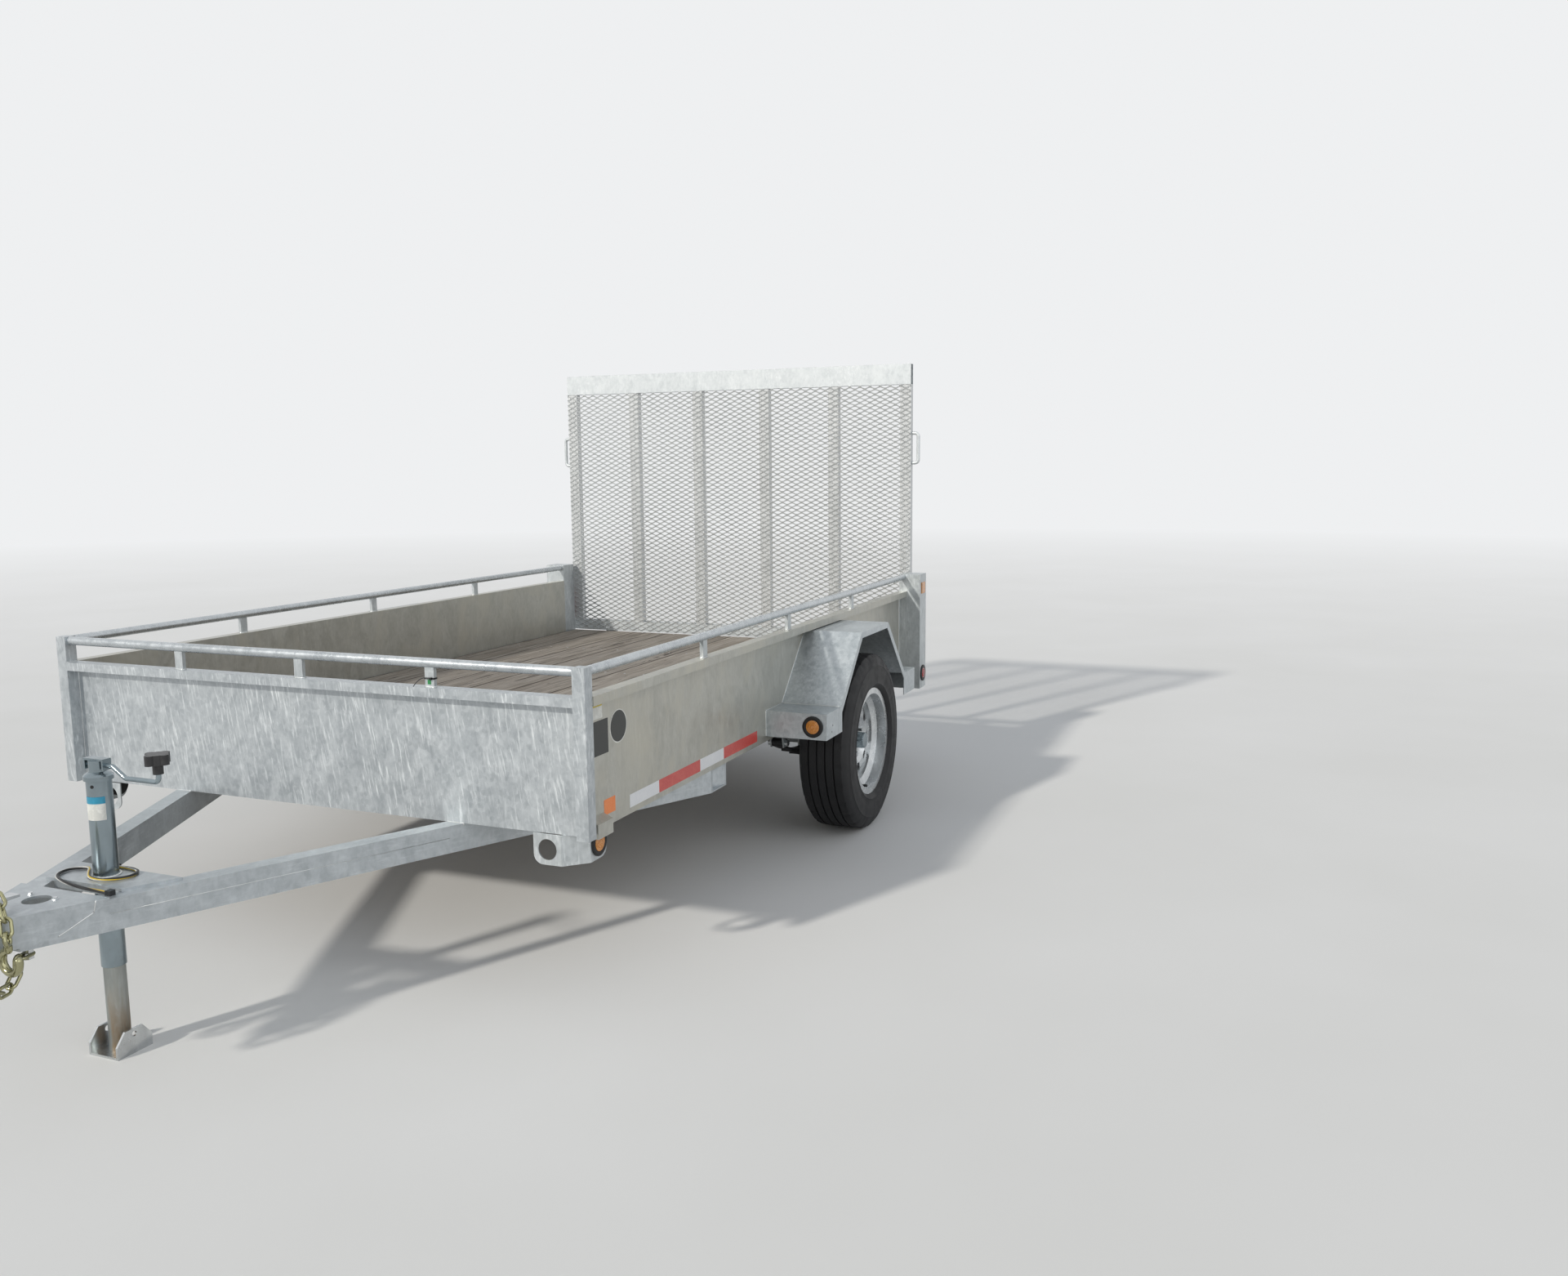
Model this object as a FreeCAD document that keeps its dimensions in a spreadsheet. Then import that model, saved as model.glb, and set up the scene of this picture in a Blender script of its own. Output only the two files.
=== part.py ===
import FreeCAD, Part
import math
import os
import Sketcher

# A galvanised single-axle utility trailer: open bed with a wooden floor, A-frame
# tongue on a screw jack, bolt-on fenders and a ramp gate of expanded mesh.
# Frame: +X runs forward to the coupler, +Y to the trailer's left, +Z up. The
# origin is on the ground, midway along and across the whole trailer.

# Driving sizes in millimetres, degrees or counts
SIZES = [
    # bed
    ("bed_width", 1829, "clear width between the side sheets"),
    ("bed_length", 3010, "front of the front posts to the back of the rear posts"),
    ("sheet_gauge", 3, "thickness of the folded sheets"),
    ("frame_underside", 438, "height of the underside of the bed frame"),
    ("wall_top", 820, "height of the folded edge of the walls"),
    ("lip_width", 38, "how far the folded edge stands out"),
    ("lip_drop", 26, "depth of the folded edge's outer face"),
    ("front_post_side", 38, "square tube of the front corner posts"),
    ("rear_post_side", 102, "square tube of the rear posts"),
    ("post_gauge", 3, "wall and cap of the posts"),
    ("post_top", 900, "height of all four posts"),
    ("rear_post_foot", 359, "height of the rear posts' lower ends"),
    ("rail_diameter", 26.7, "pipe of the top rails"),
    ("rail_gauge", 2.9, "wall of that pipe"),
    ("stake_width", 30, "rail stakes, along the rail"),
    ("stake_gauge", 12, "rail stakes, across the rail"),
    ("front_bays", 4, "equal bays that the three front stakes make"),
    ("side_stake_setback", 740, "first side stake behind the bed's front"),
    ("side_stake_pitch", 709, "spacing of the side stakes"),
    ("floor_top", 551, "height of the wooden floor"),
    ("plank_gauge", 38, "thickness of the planks"),
    ("plank_count", 10, "planks across the bed"),
    ("plank_gap", 3, "gap between planks"),
    ("plank_setback", 3, "planks end this far ahead of the rear posts' back"),
    ("member_flange", 41, "flange of the floor channels"),
    ("member_gauge", 5, "thickness of the floor channels"),
    ("member_count", 6, "cross members under the floor"),
    # tongue and coupler
    ("leg_width", 50.8, "tongue tube, across"),
    ("leg_height", 76.2, "tongue tube, upright"),
    ("leg_gauge", 4.8, "wall of the tongue tube"),
    ("leg_angle", 26, "each tongue leg from the centre line"),
    ("leg_spread", 512, "outer face of a leg from the centre line at the bed's front"),
    ("leg_reach", 930, "front end of the legs ahead of the bed"),
    ("jack_plate_gauge", 8, "plate that carries the jack"),
    ("jack_plate_rear", 604, "rear edge of that plate ahead of the bed"),
    ("jack_plate_length", 114, "length of that plate"),
    ("jack_plate_half", 190, "half width at its rear edge"),
    ("jack_plate_front_half", 124, "half width at its front edge"),
    ("jack_plate_fold", 14, "downward fold of its front edge"),
    ("coupler_gauge", 6, "plate of the coupler"),
    ("coupler_rear", 767, "rear edge of the coupler ahead of the bed"),
    ("coupler_flank", 66, "depth of the coupler's sides"),
    ("coupler_rake", 90, "slope of the sides' rear edges, along"),
    ("ball_ahead", 1045, "centre of the tow ball ahead of the bed"),
    ("ball_diameter", 50.8, "tow ball"),
    ("ball_clearance", 0.5, "socket over the ball, radial"),
    ("ball_drop", 27, "ball centre under the coupler's top"),
    ("nose_radius", 40, "rounded nose of the coupler"),
    ("spare_jack_hole", 62, "hole for a jack in the coupler's top"),
    ("spare_jack_ahead", 838, "that hole ahead of the bed"),
    ("latch_width", 32, "coupler latch lever"),
    ("latch_gauge", 6, "thickness of the latch lever"),
    ("latch_length", 120, "length of the latch lever"),
    ("bolt_diameter", 12.7, "coupler and chain bolts"),
    ("chain_wire", 8, "bar of the safety chain's links"),
    ("chain_link_length", 50, "outside length of a link"),
    ("chain_link_width", 30, "outside width of a link"),
    ("chain_slack", 0.5, "play between links"),
    ("hook_bar", 18, "bar of the chains' hooks"),
    ("hook_bowl", 26, "radius of a hook's bowl, to the bar's middle"),
    ("hook_eye", 14, "radius of a hook's eye, to the ring's middle"),
    ("hook_eye_bar", 10, "bar of a hook's eye"),
    ("chain_nut_height", 12, "nut between each leg and its chain"),
    ("chain_bolt_setback", 28, "safety chain bolts behind the legs' front ends"),
    # jack
    ("jack_ahead", 654, "jack's axis ahead of the bed"),
    ("jack_tube_diameter", 57, "outer tube of the jack"),
    ("jack_tube_gauge", 3, "wall of the outer tube"),
    ("jack_tube_foot", 221, "height of the outer tube's lower end"),
    ("jack_tube_top", 693, "height of the outer tube's upper end"),
    ("jack_collar", 5, "collar that stands out round the tube's top"),
    ("jack_head_height", 37, "gear head on top of the tube"),
    ("jack_head_side", 40, "gear head, across"),
    ("ram_clearance", 0.1, "ram in the outer tube, radial"),
    ("ram_length", 470, "ram above the foot plate"),
    ("ram_gauge", 3, "wall of the ram"),
    ("foot_plate_gauge", 6, "plate under the jack"),
    ("foot_length", 100, "foot of the jack, along"),
    ("foot_width", 96, "foot of the jack, across"),
    ("foot_ear_height", 62, "upright sides of the foot"),
    ("foot_hole", 14, "hole in the foot's sides"),
    ("crank_rod", 12, "bar of the jack's crank"),
    ("crank_reach", 196, "crank knob from the jack's axis"),
    ("crank_dip", 26, "how far the crank dips below its start"),
    ("crank_neck", 50, "crank turns down this far from the jack's axis"),
    ("crank_elbow", 90, "crank levels out this far from the axis"),
    ("knob_diameter", 66, "knob over its lobes"),
    ("knob_height", 24, "height of the knob"),
    ("knob_base", 736, "height of the knob's underside"),
    ("knob_neck", 24, "neck under the knob, upright"),
    ("knob_neck_radius", 12, "radius of that neck"),
    ("strap_gauge", 5, "flat strap that joins the crank to the gear head"),
    ("strap_width", 24, "width of that strap"),
    ("strap_reach", 32, "strap from the jack's axis, each way"),
    ("cross_pin", 10, "pin through the gear head"),
    # fenders
    ("fender_width", 229.5, "fender beyond the side sheet"),
    ("fender_gauge", 3, "sheet of the fenders"),
    ("fender_rim", 22, "flat rim round the wheel opening"),
    ("fender_top", 790, "height of the fenders"),
    ("fender_top_half", 166, "half length of the flat top"),
    ("slope_foot", 400, "foot of each slope from the wheel's centre"),
    ("fender_front", 554, "front face from the wheel's centre"),
    ("fender_back", 545, "rear face from the wheel's centre"),
    ("step_top", 550, "height of the fender's end steps"),
    ("step_underside", 457, "height of the steps' lower edges"),
    # wheels
    ("wheel_ahead", 1178, "wheel centres ahead of the bed's back"),
    ("wheel_out", 127.5, "wheel centres beyond the side sheets"),
    ("tyre_radius", 341, "height of the wheel centres"),
    ("tyre_width", 205, "tyre over its sidewalls"),
    ("tread_width", 158, "flat tread"),
    ("shoulder_drop", 14, "tyre's shoulders below its tread"),
    ("tyre_wall", 12, "thickness of the sidewalls"),
    ("rim_flange_radius", 208, "rim over its flanges"),
    ("bead_radius", 190, "bead seats of the rim"),
    ("well_radius", 166, "drop centre of the rim"),
    ("well_half", 30, "drop centre from the wheel's middle"),
    ("bead_inner", 45, "bead seats start this far from the middle"),
    ("rim_half_width", 86, "rim flanges from the wheel's middle"),
    ("rim_gauge", 4, "thickness of the rim"),
    ("window_count", 8, "windows in the wheel's disc"),
    ("window_outer", 146, "windows reach out to this radius"),
    ("window_inner", 92, "windows start at this radius"),
    ("window_half_angle", 16, "half width of a window's wide side, in degrees"),
    ("hub_radius", 40, "hub barrel through the disc"),
    ("hub_length", 52, "hub in front of the disc"),
    ("hub_face", 12, "hub barrel beyond the disc"),
    ("cap_radius", 28, "dust cap on the hub"),
    ("hub_flange_radius", 72, "hub flange behind the disc"),
    ("hub_flange_gauge", 12, "thickness of the hub flange"),
    ("hub_tail", 40, "hub behind its flange"),
    ("hub_tail_radius", 44, "radius of the hub behind its flange"),
    ("hub_gap", 12, "axle tube ends this far from the hub"),
    ("nut_count", 5, "wheel nuts"),
    ("nut_circle", 57.15, "radius of the nuts' circle"),
    ("nut_across", 19, "wheel nut over its flats"),
    ("nut_length", 22, "length of a wheel nut"),
    ("disc_offset", 8, "disc's mounting face outside the wheel's middle"),
    ("disc_rise", 24, "disc's raised ring beyond its mounting face"),
    ("bead_gap", 0.3, "tyre over its rim, radial"),
    # axle
    ("axle_diameter", 60, "axle tube"),
    ("spindle_diameter", 35, "spindle through the hub"),
    ("spring_inset", 47.5, "leaf springs inside the side sheets"),
    ("spring_span", 641, "leaf springs between their eyes"),
    ("eye_height", 382, "height of the spring eyes"),
    ("eye_radius", 16, "outside of the spring eyes"),
    ("spring_width", 44.5, "width of the leaves"),
    ("leaf_gauge", 8, "thickness of a leaf"),
    ("leaf_count", 3, "leaves in a spring"),
    ("leaf_step", 80, "each lower leaf is shorter by this at each end"),
    ("hanger_gauge", 5, "plates of the spring hangers"),
    ("hanger_length", 60, "spring hangers, along"),
    ("hanger_bolt", 14, "bolts of the spring hangers"),
    ("hanger_bolt_head", 12, "radius and height of their heads"),
    ("clamp_rod", 12, "U-bolts over the axle"),
    ("clamp_plate_gauge", 8, "plates under the springs"),
    # corner brackets
    ("bracket_gauge", 4, "plate of the corner brackets"),
    ("bracket_drop", 85, "corner brackets below the frame"),
    ("bracket_setback", 28, "their front faces behind the bed's front"),
    ("bracket_inset", 12.5, "their side faces inside the side sheets"),
    ("bracket_chamfer", 57, "their 45 degree faces, across and along"),
    ("bracket_front", 86, "their front faces, across"),
    ("bracket_side", 84, "length of their side faces"),
    ("bracket_hole", 58, "hole in their front faces"),
    ("bracket_rounding", 28, "rounded lower corners of the brackets"),
    ("hood_length", 80, "guard over the front side lamps"),
    ("hood_height", 52, "height of that guard"),
    ("hood_depth", 30, "that guard beyond the side sheet"),
    ("hood_slope", 12, "fall of that guard's top"),
    ("hood_dip", 9, "that guard below the frame's underside"),
    ("hood_setback", 56, "that guard behind the bed's front"),
    # lamps
    ("lamp_grommet", 76, "rubber rings of the round lamps"),
    ("lamp_lens", 48, "lenses of the round lamps"),
    ("lamp_stand_out", 9, "round lamps beyond their plate"),
    ("lamp_depth", 22, "round lamps behind their plate"),
    ("lamp_plug", 66, "round lamps in their holes"),
    ("post_lamp_height", 428, "height of the red side lamps"),
    ("step_lamp_height", 503, "height of the lamps on the fender steps"),
    ("step_lamp_inset", 51, "those lamps inside the fender's edge"),
    ("bracket_lamp_height", 399, "height of the front side lamps"),
    ("tail_lamp_height", 690, "height of the tail lamps' middle"),
    ("tail_lamp_length", 165, "tail lamps, upright"),
    ("tail_lamp_width", 60, "tail lamps, across"),
    ("reflector_side", 52, "reflectors on the rear posts"),
    ("reflector_gauge", 4, "thickness of the reflectors"),
    ("reflector_height", 835, "height of the reflectors' middle"),
    # gate
    ("gate_gap", 20, "gate behind the rear posts"),
    ("gate_depth", 38, "gate from front to back"),
    ("gate_overlap", 16.5, "gate beyond the side sheets, each side"),
    ("gate_top", 1880, "height of the gate"),
    ("gate_gauge", 3, "sheet of the gate's channels"),
    ("gate_band", 95, "height of the top channel"),
    ("gate_sill", 52, "height of the bottom channel"),
    ("gate_upright", 52, "width of the uprights"),
    ("upright_count", 6, "uprights of the gate"),
    ("mesh_gauge", 3, "thickness of the mesh"),
    ("mesh_columns", 18, "openings across the mesh"),
    ("mesh_rows", 16, "openings up the mesh"),
    ("mesh_margin", 16, "plain edge round the openings"),
    ("mesh_strand", 14.4, "solid between openings, upright"),
    ("mesh_bond", 22.4, "solid between openings, across"),
    ("handle_rod", 16, "bar of the gate's handles"),
    ("handle_height", 1488, "height of the handles' middle"),
    ("handle_length", 155, "handles, upright"),
    ("handle_reach", 40, "handles beyond the gate's edge"),
    ("hinge_drop", 25, "hinge axis under the gate"),
    ("hinge_setback", 25, "hinge axis behind the mesh"),
    ("hinge_pin", 16, "hinge pins"),
    ("hinge_clearance", 0.1, "knuckle over its pin, radial"),
    ("hinge_inset", 214, "hinges inside the gate's edges"),
    ("knuckle_radius", 13, "outside of the knuckles"),
    ("knuckle_length", 60, "length of a knuckle"),
    ("lug_gauge", 8, "plates that carry the hinge pins"),
    ("lug_gap", 0.3, "lugs beside the knuckles"),
    # wiring
    ("lead_diameter", 8, "bundle of the lighting lead"),
    ("plug_length", 42, "plug on the lead"),
    ("plug_width", 18, "plug, across"),
    ("plug_height", 10, "plug, upright"),
]

doc = FreeCAD.newDocument("UtilityTrailer")
sheet = doc.addObject("Spreadsheet::Sheet", "Sizes")
for row, (alias, number, meaning) in enumerate(SIZES, 1):
    sheet.set("A%d" % row, alias)
    sheet.set("B%d" % row, str(number))
    sheet.set("C%d" % row, meaning)
    sheet.setAlias("B%d" % row, alias)
doc.recompute()

nodes = {}


class Size:
    """A number together with the spreadsheet formula that gives it."""

    def __init__(self, number, formula):
        self.number = float(number)
        self.formula = formula

    def joined(self, sign, other, number):
        return Size(number, "(%s %s %s)" % (self.formula, sign, as_size(other).formula))

    def __add__(self, other):
        return self.joined("+", other, self.number + as_size(other).number)

    def __sub__(self, other):
        return self.joined("-", other, self.number - as_size(other).number)

    def __mul__(self, other):
        return self.joined("*", other, self.number * as_size(other).number)

    def __truediv__(self, other):
        return self.joined("/", other, self.number / as_size(other).number)

    def __radd__(self, other):
        return as_size(other) + self

    def __rsub__(self, other):
        return as_size(other) - self

    def __rmul__(self, other):
        return as_size(other) * self

    def __rtruediv__(self, other):
        return as_size(other) / self

    def __neg__(self):
        return Size(-self.number, "(0 - %s)" % self.formula)


def as_size(value):
    if isinstance(value, Size):
        return value
    return Size(value, repr(float(value)))


def size(alias):
    return Size(sheet.get(alias), "Sizes." + alias)


def sine(angle):
    return Size(math.sin(math.radians(angle.number)), "sin(%s)" % angle.formula)


def cosine(angle):
    return Size(math.cos(math.radians(angle.number)), "cos(%s)" % angle.formula)


def tangent(angle):
    return sine(angle) / cosine(angle)


def bind(item, prop, value):
    """Set a property to a size, and keep it tied to the sheet."""
    item.setExpression(prop, as_size(value).formula)


def place(item, x=0, y=0, z=0):
    for axis, value in (("x", x), ("y", y), ("z", z)):
        bind(item, ".Placement.Base." + axis, value)
    return item


def node(label, item):
    """Name a finished sub-part, which is written to a file of that name."""
    item.Label = label
    nodes[label] = item
    return item


# Sketches, in which every corner is tied to the sheet

def origin_plane(body, role):
    return next(plane for plane in body.Origin.OriginFeatures if plane.Role == role)


def new_sketch(body, role, name, offset=0):
    sketch = body.newObject("Sketcher::SketchObject", name)
    sketch.AttachmentSupport = (origin_plane(body, role), [""])
    sketch.MapMode = "FlatFace"
    bind(sketch, "AttachmentOffset.Base.z", offset)
    return sketch


def tie_point(sketch, element, end, across, up):
    """Fix one end of a sketch element at its distances from the sketch's origin."""
    for kind, value in (("DistanceX", as_size(across)), ("DistanceY", as_size(up))):
        index = sketch.addConstraint(
            Sketcher.Constraint(kind, -1, 1, element, end, value.number))
        sketch.setExpression("Constraints[%d]" % index, value.formula)


def arc_between(start, stop, radius):
    """Arc from start to stop; a positive radius turns left, a negative one right."""
    chord = stop - start
    side = 1 if radius > 0 else -1
    normal = FreeCAD.Vector(-chord.y, chord.x, 0).normalize() * side
    rise = math.sqrt(max(radius * radius - chord.Length ** 2 / 4, 0))
    centre = (start + stop) * 0.5 + normal * rise
    circle = Part.Circle(centre, FreeCAD.Vector(0, 0, 1), abs(radius))
    first, last = (start, stop) if side > 0 else (stop, start)
    angles = [math.atan2(p.y - centre.y, p.x - centre.x) for p in (first, last)]
    if angles[1] <= angles[0]:
        angles[1] += 2 * math.pi
    return Part.ArcOfCircle(circle, angles[0], angles[1])


def draw_outline(sketch, corners):
    """Closed outline. A corner's third value is the radius of the side that leaves it."""
    points = [FreeCAD.Vector(as_size(c[0]).number, as_size(c[1]).number, 0) for c in corners]
    starts = []
    stops = []
    for index, corner in enumerate(corners):
        here = points[index]
        there = points[(index + 1) % len(points)]
        if len(corner) > 2:
            radius = as_size(corner[2])
            element = sketch.addGeometry(arc_between(here, there, radius.number), False)
            first, last = (1, 2) if radius.number > 0 else (2, 1)
            wide = radius if radius.number > 0 else -radius
            limit = sketch.addConstraint(Sketcher.Constraint("Radius", element, wide.number))
            sketch.setExpression("Constraints[%d]" % limit, wide.formula)
        else:
            element = sketch.addGeometry(Part.LineSegment(here, there), False)
            first, last = 1, 2
        starts.append((element, first))
        stops.append((element, last))
    for index, corner in enumerate(corners):
        tie_point(sketch, starts[index][0], starts[index][1], corner[0], corner[1])
        before = stops[index - 1]
        sketch.addConstraint(Sketcher.Constraint(
            "Coincident", before[0], before[1], starts[index][0], starts[index][1]))


def draw_circle(sketch, across, up, radius):
    centre = FreeCAD.Vector(as_size(across).number, as_size(up).number, 0)
    value = as_size(radius)
    circle = Part.Circle(centre, FreeCAD.Vector(0, 0, 1), value.number)
    element = sketch.addGeometry(circle, False)
    tie_point(sketch, element, 3, across, up)
    limit = sketch.addConstraint(Sketcher.Constraint("Radius", element, value.number))
    sketch.setExpression("Constraints[%d]" % limit, value.formula)


# Ways of making a body

def new_body(name):
    body = doc.addObject("PartDesign::Body", name)
    body.AllowCompound = True
    return body


def pad(body, role, corners, length, holes=(), offset=0):
    """Extrude an outline, with round holes (across, up, radius), along the plane's normal."""
    sketch = new_sketch(body, role, body.Name + "_outline", offset)
    if corners:
        draw_outline(sketch, corners)
    for across, up, radius in holes:
        draw_circle(sketch, across, up, radius)
    feature = body.newObject("PartDesign::Pad", body.Name + "_pad")
    feature.Profile = sketch
    bind(feature, "Length", length)
    sketch.Visibility = False
    return feature


def pocket(body, role, corners, length, holes=(), offset=0):
    """Cut an outline and round holes out of a body, along the plane's normal."""
    sketch = new_sketch(body, role, body.Name + "_cut", offset)
    if corners:
        draw_outline(sketch, corners)
    for across, up, radius in holes:
        draw_circle(sketch, across, up, radius)
    feature = body.newObject("PartDesign::Pocket", body.Name + "_pocket")
    feature.Profile = sketch
    feature.Reversed = True
    bind(feature, "Length", length)
    return feature


def turn(body, role, corners, around="V_Axis"):
    """Revolve an outline once round an axis of its sketch."""
    sketch = new_sketch(body, role, body.Name + "_profile")
    draw_outline(sketch, corners)
    feature = body.newObject("PartDesign::Revolution", body.Name + "_turned")
    feature.Profile = sketch
    feature.ReferenceAxis = (sketch, [around])
    feature.Angle = 360
    return feature


def repeat_round(body, features, around, count):
    """Repeat features in a full circle round one of the body's own axes."""
    pattern = body.newObject("PartDesign::PolarPattern", body.Name + "_ring")
    pattern.Originals = features
    pattern.Axis = (origin_plane(body, around), [""])
    pattern.Angle = 360
    bind(pattern, "Occurrences", count)
    body.Tip = pattern
    return pattern


def repeat_along(body, features, along, length, count):
    """Repeat features in a row along one of the body's own axes."""
    pattern = body.newObject("PartDesign::LinearPattern", body.Name + "_row")
    pattern.Originals = features
    pattern.Direction = (origin_plane(body, along), [""])
    bind(pattern, "Length", length)
    bind(pattern, "Occurrences", count)
    body.Tip = pattern
    return pattern


def slab(name, role, corners, start, length, holes=()):
    """Body extruded from a flat outline; start is its place along the plane's axis."""
    body = new_body(name)
    pad(body, role, corners, length, holes)
    if role == "XY_Plane":
        return place(body, z=start)
    if role == "YZ_Plane":
        return place(body, x=start)
    return place(body, y=as_size(start) + length)


def rectangle(left, right, low, high):
    return [(left, low), (right, low), (right, high), (left, high)]


def mirrored(name, source):
    twin = doc.addObject("Part::Mirroring", name)
    twin.Source = source
    twin.Normal = FreeCAD.Vector(0, 1, 0)
    return twin


def grouped(name, members):
    group = doc.addObject("Part::Compound", name)
    group.Links = members
    return group


def both_sides(label, source):
    """One node that holds a piece and its mirror image."""
    return node(label, grouped(label, [source, mirrored(label + "_twin", source)]))


def fused(name, members):
    union = doc.addObject("Part::MultiFuse", name)
    union.Shapes = members
    return union


def less(name, base, tool):
    cut = doc.addObject("Part::Cut", name)
    cut.Base = base
    cut.Tool = tool
    return cut


def rod_wire(points, bend):
    """Straight runs joined by tangent arcs of one radius."""
    edges = []
    start = points[0]
    for before, corner, after in zip(points, points[1:], points[2:]):
        back = (before - corner).normalize()
        ahead = (after - corner).normalize()
        half = back.getAngle(ahead) / 2
        setback = bend / math.tan(half)
        centre_way = (back + ahead).normalize()
        middle = corner + centre_way * (bend / math.sin(half) - bend)
        arc_start = corner + back * setback
        arc_stop = corner + ahead * setback
        edges.append(Part.LineSegment(start, arc_start).toShape())
        edges.append(Part.Arc(arc_start, middle, arc_stop).toShape())
        start = arc_stop
    edges.append(Part.LineSegment(start, points[-1]).toShape())
    return Part.Wire(edges)


def swept(wire, radius):
    """Round bar along a wire."""
    first = wire.Edges[0]
    start = first.Vertexes[0].Point
    heading = first.tangentAt(first.FirstParameter)
    ring = Part.Wire(Part.makeCircle(radius, start, heading))
    return wire.makePipeShell([ring], True, True)


# Places that several pieces share

bed_front = (size("bed_length") + size("gate_gap") + size("gate_depth")
             - size("ball_ahead") - size("nose_radius")) / 2
bed_back = bed_front - size("bed_length")
bed_half = size("bed_width") / 2
wall_outside = bed_half + size("sheet_gauge")
panel_front = bed_front - size("front_post_side")
panel_back = panel_front - size("sheet_gauge")
rear_post_front = bed_back + size("rear_post_side")
rear_post_out = wall_outside + size("rear_post_side")
wall_height = size("wall_top") - size("frame_underside")
rail_radius = size("rail_diameter") / 2
rail_height = size("post_top") - rail_radius
rail_out = bed_half + size("lip_width") / 2 + size("sheet_gauge")
floor_underside = size("floor_top") - size("plank_gauge")
wheel_x = bed_back + size("wheel_ahead")
wheel_y = wall_outside + size("wheel_out")
spring_y = wall_outside - size("spring_inset")
bracket_outer = wall_outside - size("bracket_inset")
bracket_corner = bracket_outer - size("bracket_chamfer")
bracket_inner = bracket_corner - size("bracket_front")
gate_front = bed_back - size("gate_gap")
gate_back = gate_front - size("gate_depth")
gate_half = wall_outside + size("gate_overlap")
jack_x = bed_front + size("jack_ahead")
ball_x = bed_front + size("ball_ahead")


# Bed walls

def folded_wall(name, role, sheet_in, sheet_out, edge, start, length):
    """Upright sheet whose top is folded out over a lip and down again."""
    gauge = size("sheet_gauge")
    top = size("wall_top")
    low = size("frame_underside")
    lip_foot = top - size("lip_drop")
    inward = gauge if edge.number > sheet_out.number else -gauge
    corners = [
        (sheet_in, low), (sheet_out, low), (sheet_out, top - gauge),
        (edge - inward, top - gauge), (edge - inward, lip_foot), (edge, lip_foot),
        (edge, top), (sheet_in, top)]
    return slab(name, role, corners, start, length)


def make_walls():
    panel = folded_wall("front_panel", "XZ_Plane", panel_back, panel_front, bed_front,
                        -bed_half, size("bed_width"))
    node("front_panel", panel)
    left = folded_wall("side_sheet_left", "YZ_Plane", bed_half, wall_outside,
                       bed_half + size("sheet_gauge") + size("lip_width"),
                       rear_post_front, panel_front - rear_post_front)
    node("side_sheet_left", left)
    node("side_sheet_right", mirrored("side_sheet_right", left))


# Posts, rails and stakes

def square_post(name, inner, outer, back, front, foot):
    """Square tube with a cap, open at its lower end."""
    wall = size("post_gauge")
    height = size("post_top") - foot
    body = new_body(name)
    pad(body, "XY_Plane", rectangle(back, front, inner, outer), height)
    pocket(body, "XY_Plane", rectangle(back + wall, front - wall, inner + wall, outer - wall),
           height - wall)
    return place(body, z=foot)


def make_posts():
    front = square_post("front_post", bed_half, bed_half + size("front_post_side"),
                        panel_front, bed_front, size("frame_underside"))
    both_sides("front_posts", front)
    rear = square_post("rear_post", wall_outside, rear_post_out, bed_back, rear_post_front,
                       size("rear_post_foot"))
    lamp_x = (bed_back + rear_post_front) / 2
    pocket(rear, "XZ_Plane", [], size("post_gauge"),
           [(lamp_x, size("post_lamp_height") - size("rear_post_foot"),
             size("lamp_grommet") / 2 - size("post_gauge"))],
           -rear_post_out)
    both_sides("rear_posts", rear)


def pipe(name, role, across, up, start, length):
    body = new_body(name)
    inside = rail_radius - size("rail_gauge")
    pad(body, role, [], length, [(across, up, rail_radius), (across, up, inside)])
    if role == "YZ_Plane":
        return place(body, x=start)
    return place(body, y=as_size(start) + length)


def stake(name, x, y, along_x):
    """Flat bar from the folded edge up to the rail."""
    wide = size("stake_width") / 2
    thin = size("stake_gauge") / 2
    half_x, half_y = (wide, thin) if along_x else (thin, wide)
    low = size("wall_top")
    body = new_body(name)
    pad(body, "XY_Plane", rectangle(x - half_x, x + half_x, y - half_y, y + half_y),
        rail_height - low)
    return place(body, z=low)


def make_rails():
    front_x = bed_front - size("front_post_side") / 2
    front = pipe("front_rail", "XZ_Plane", front_x, rail_height, -bed_half, size("bed_width"))
    node("front_rail", front)
    side = pipe("side_rail", "YZ_Plane", rail_out, rail_height, rear_post_front,
                panel_front - rear_post_front)
    both_sides("side_rails", side)
    stakes = []
    for step in (-1, 0, 1):
        across = size("bed_width") / size("front_bays") * step
        stakes.append(stake("front_stake", front_x, across, False))
    for side_sign in (-1, 1):
        for step in range(3):
            back = size("side_stake_setback") + size("side_stake_pitch") * step
            stakes.append(stake("side_stake", bed_front - back, rail_out * side_sign, True))
    saddle = new_body("rail_saddle")
    pad(saddle, "XZ_Plane", [], size("bed_width"), [(front_x, rail_height, rail_radius)])
    place(saddle, y=bed_half)
    side_saddle = new_body("side_rail_saddle")
    pad(side_saddle, "YZ_Plane", [], size("bed_length"), [(rail_out, rail_height, rail_radius)])
    place(side_saddle, x=bed_back)
    rails = grouped("rail_space", [saddle, side_saddle, mirrored("saddle_twin", side_saddle)])
    node("rail_stakes", less("rail_stakes", grouped("stake_bars", stakes), rails))


# Floor

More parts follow.
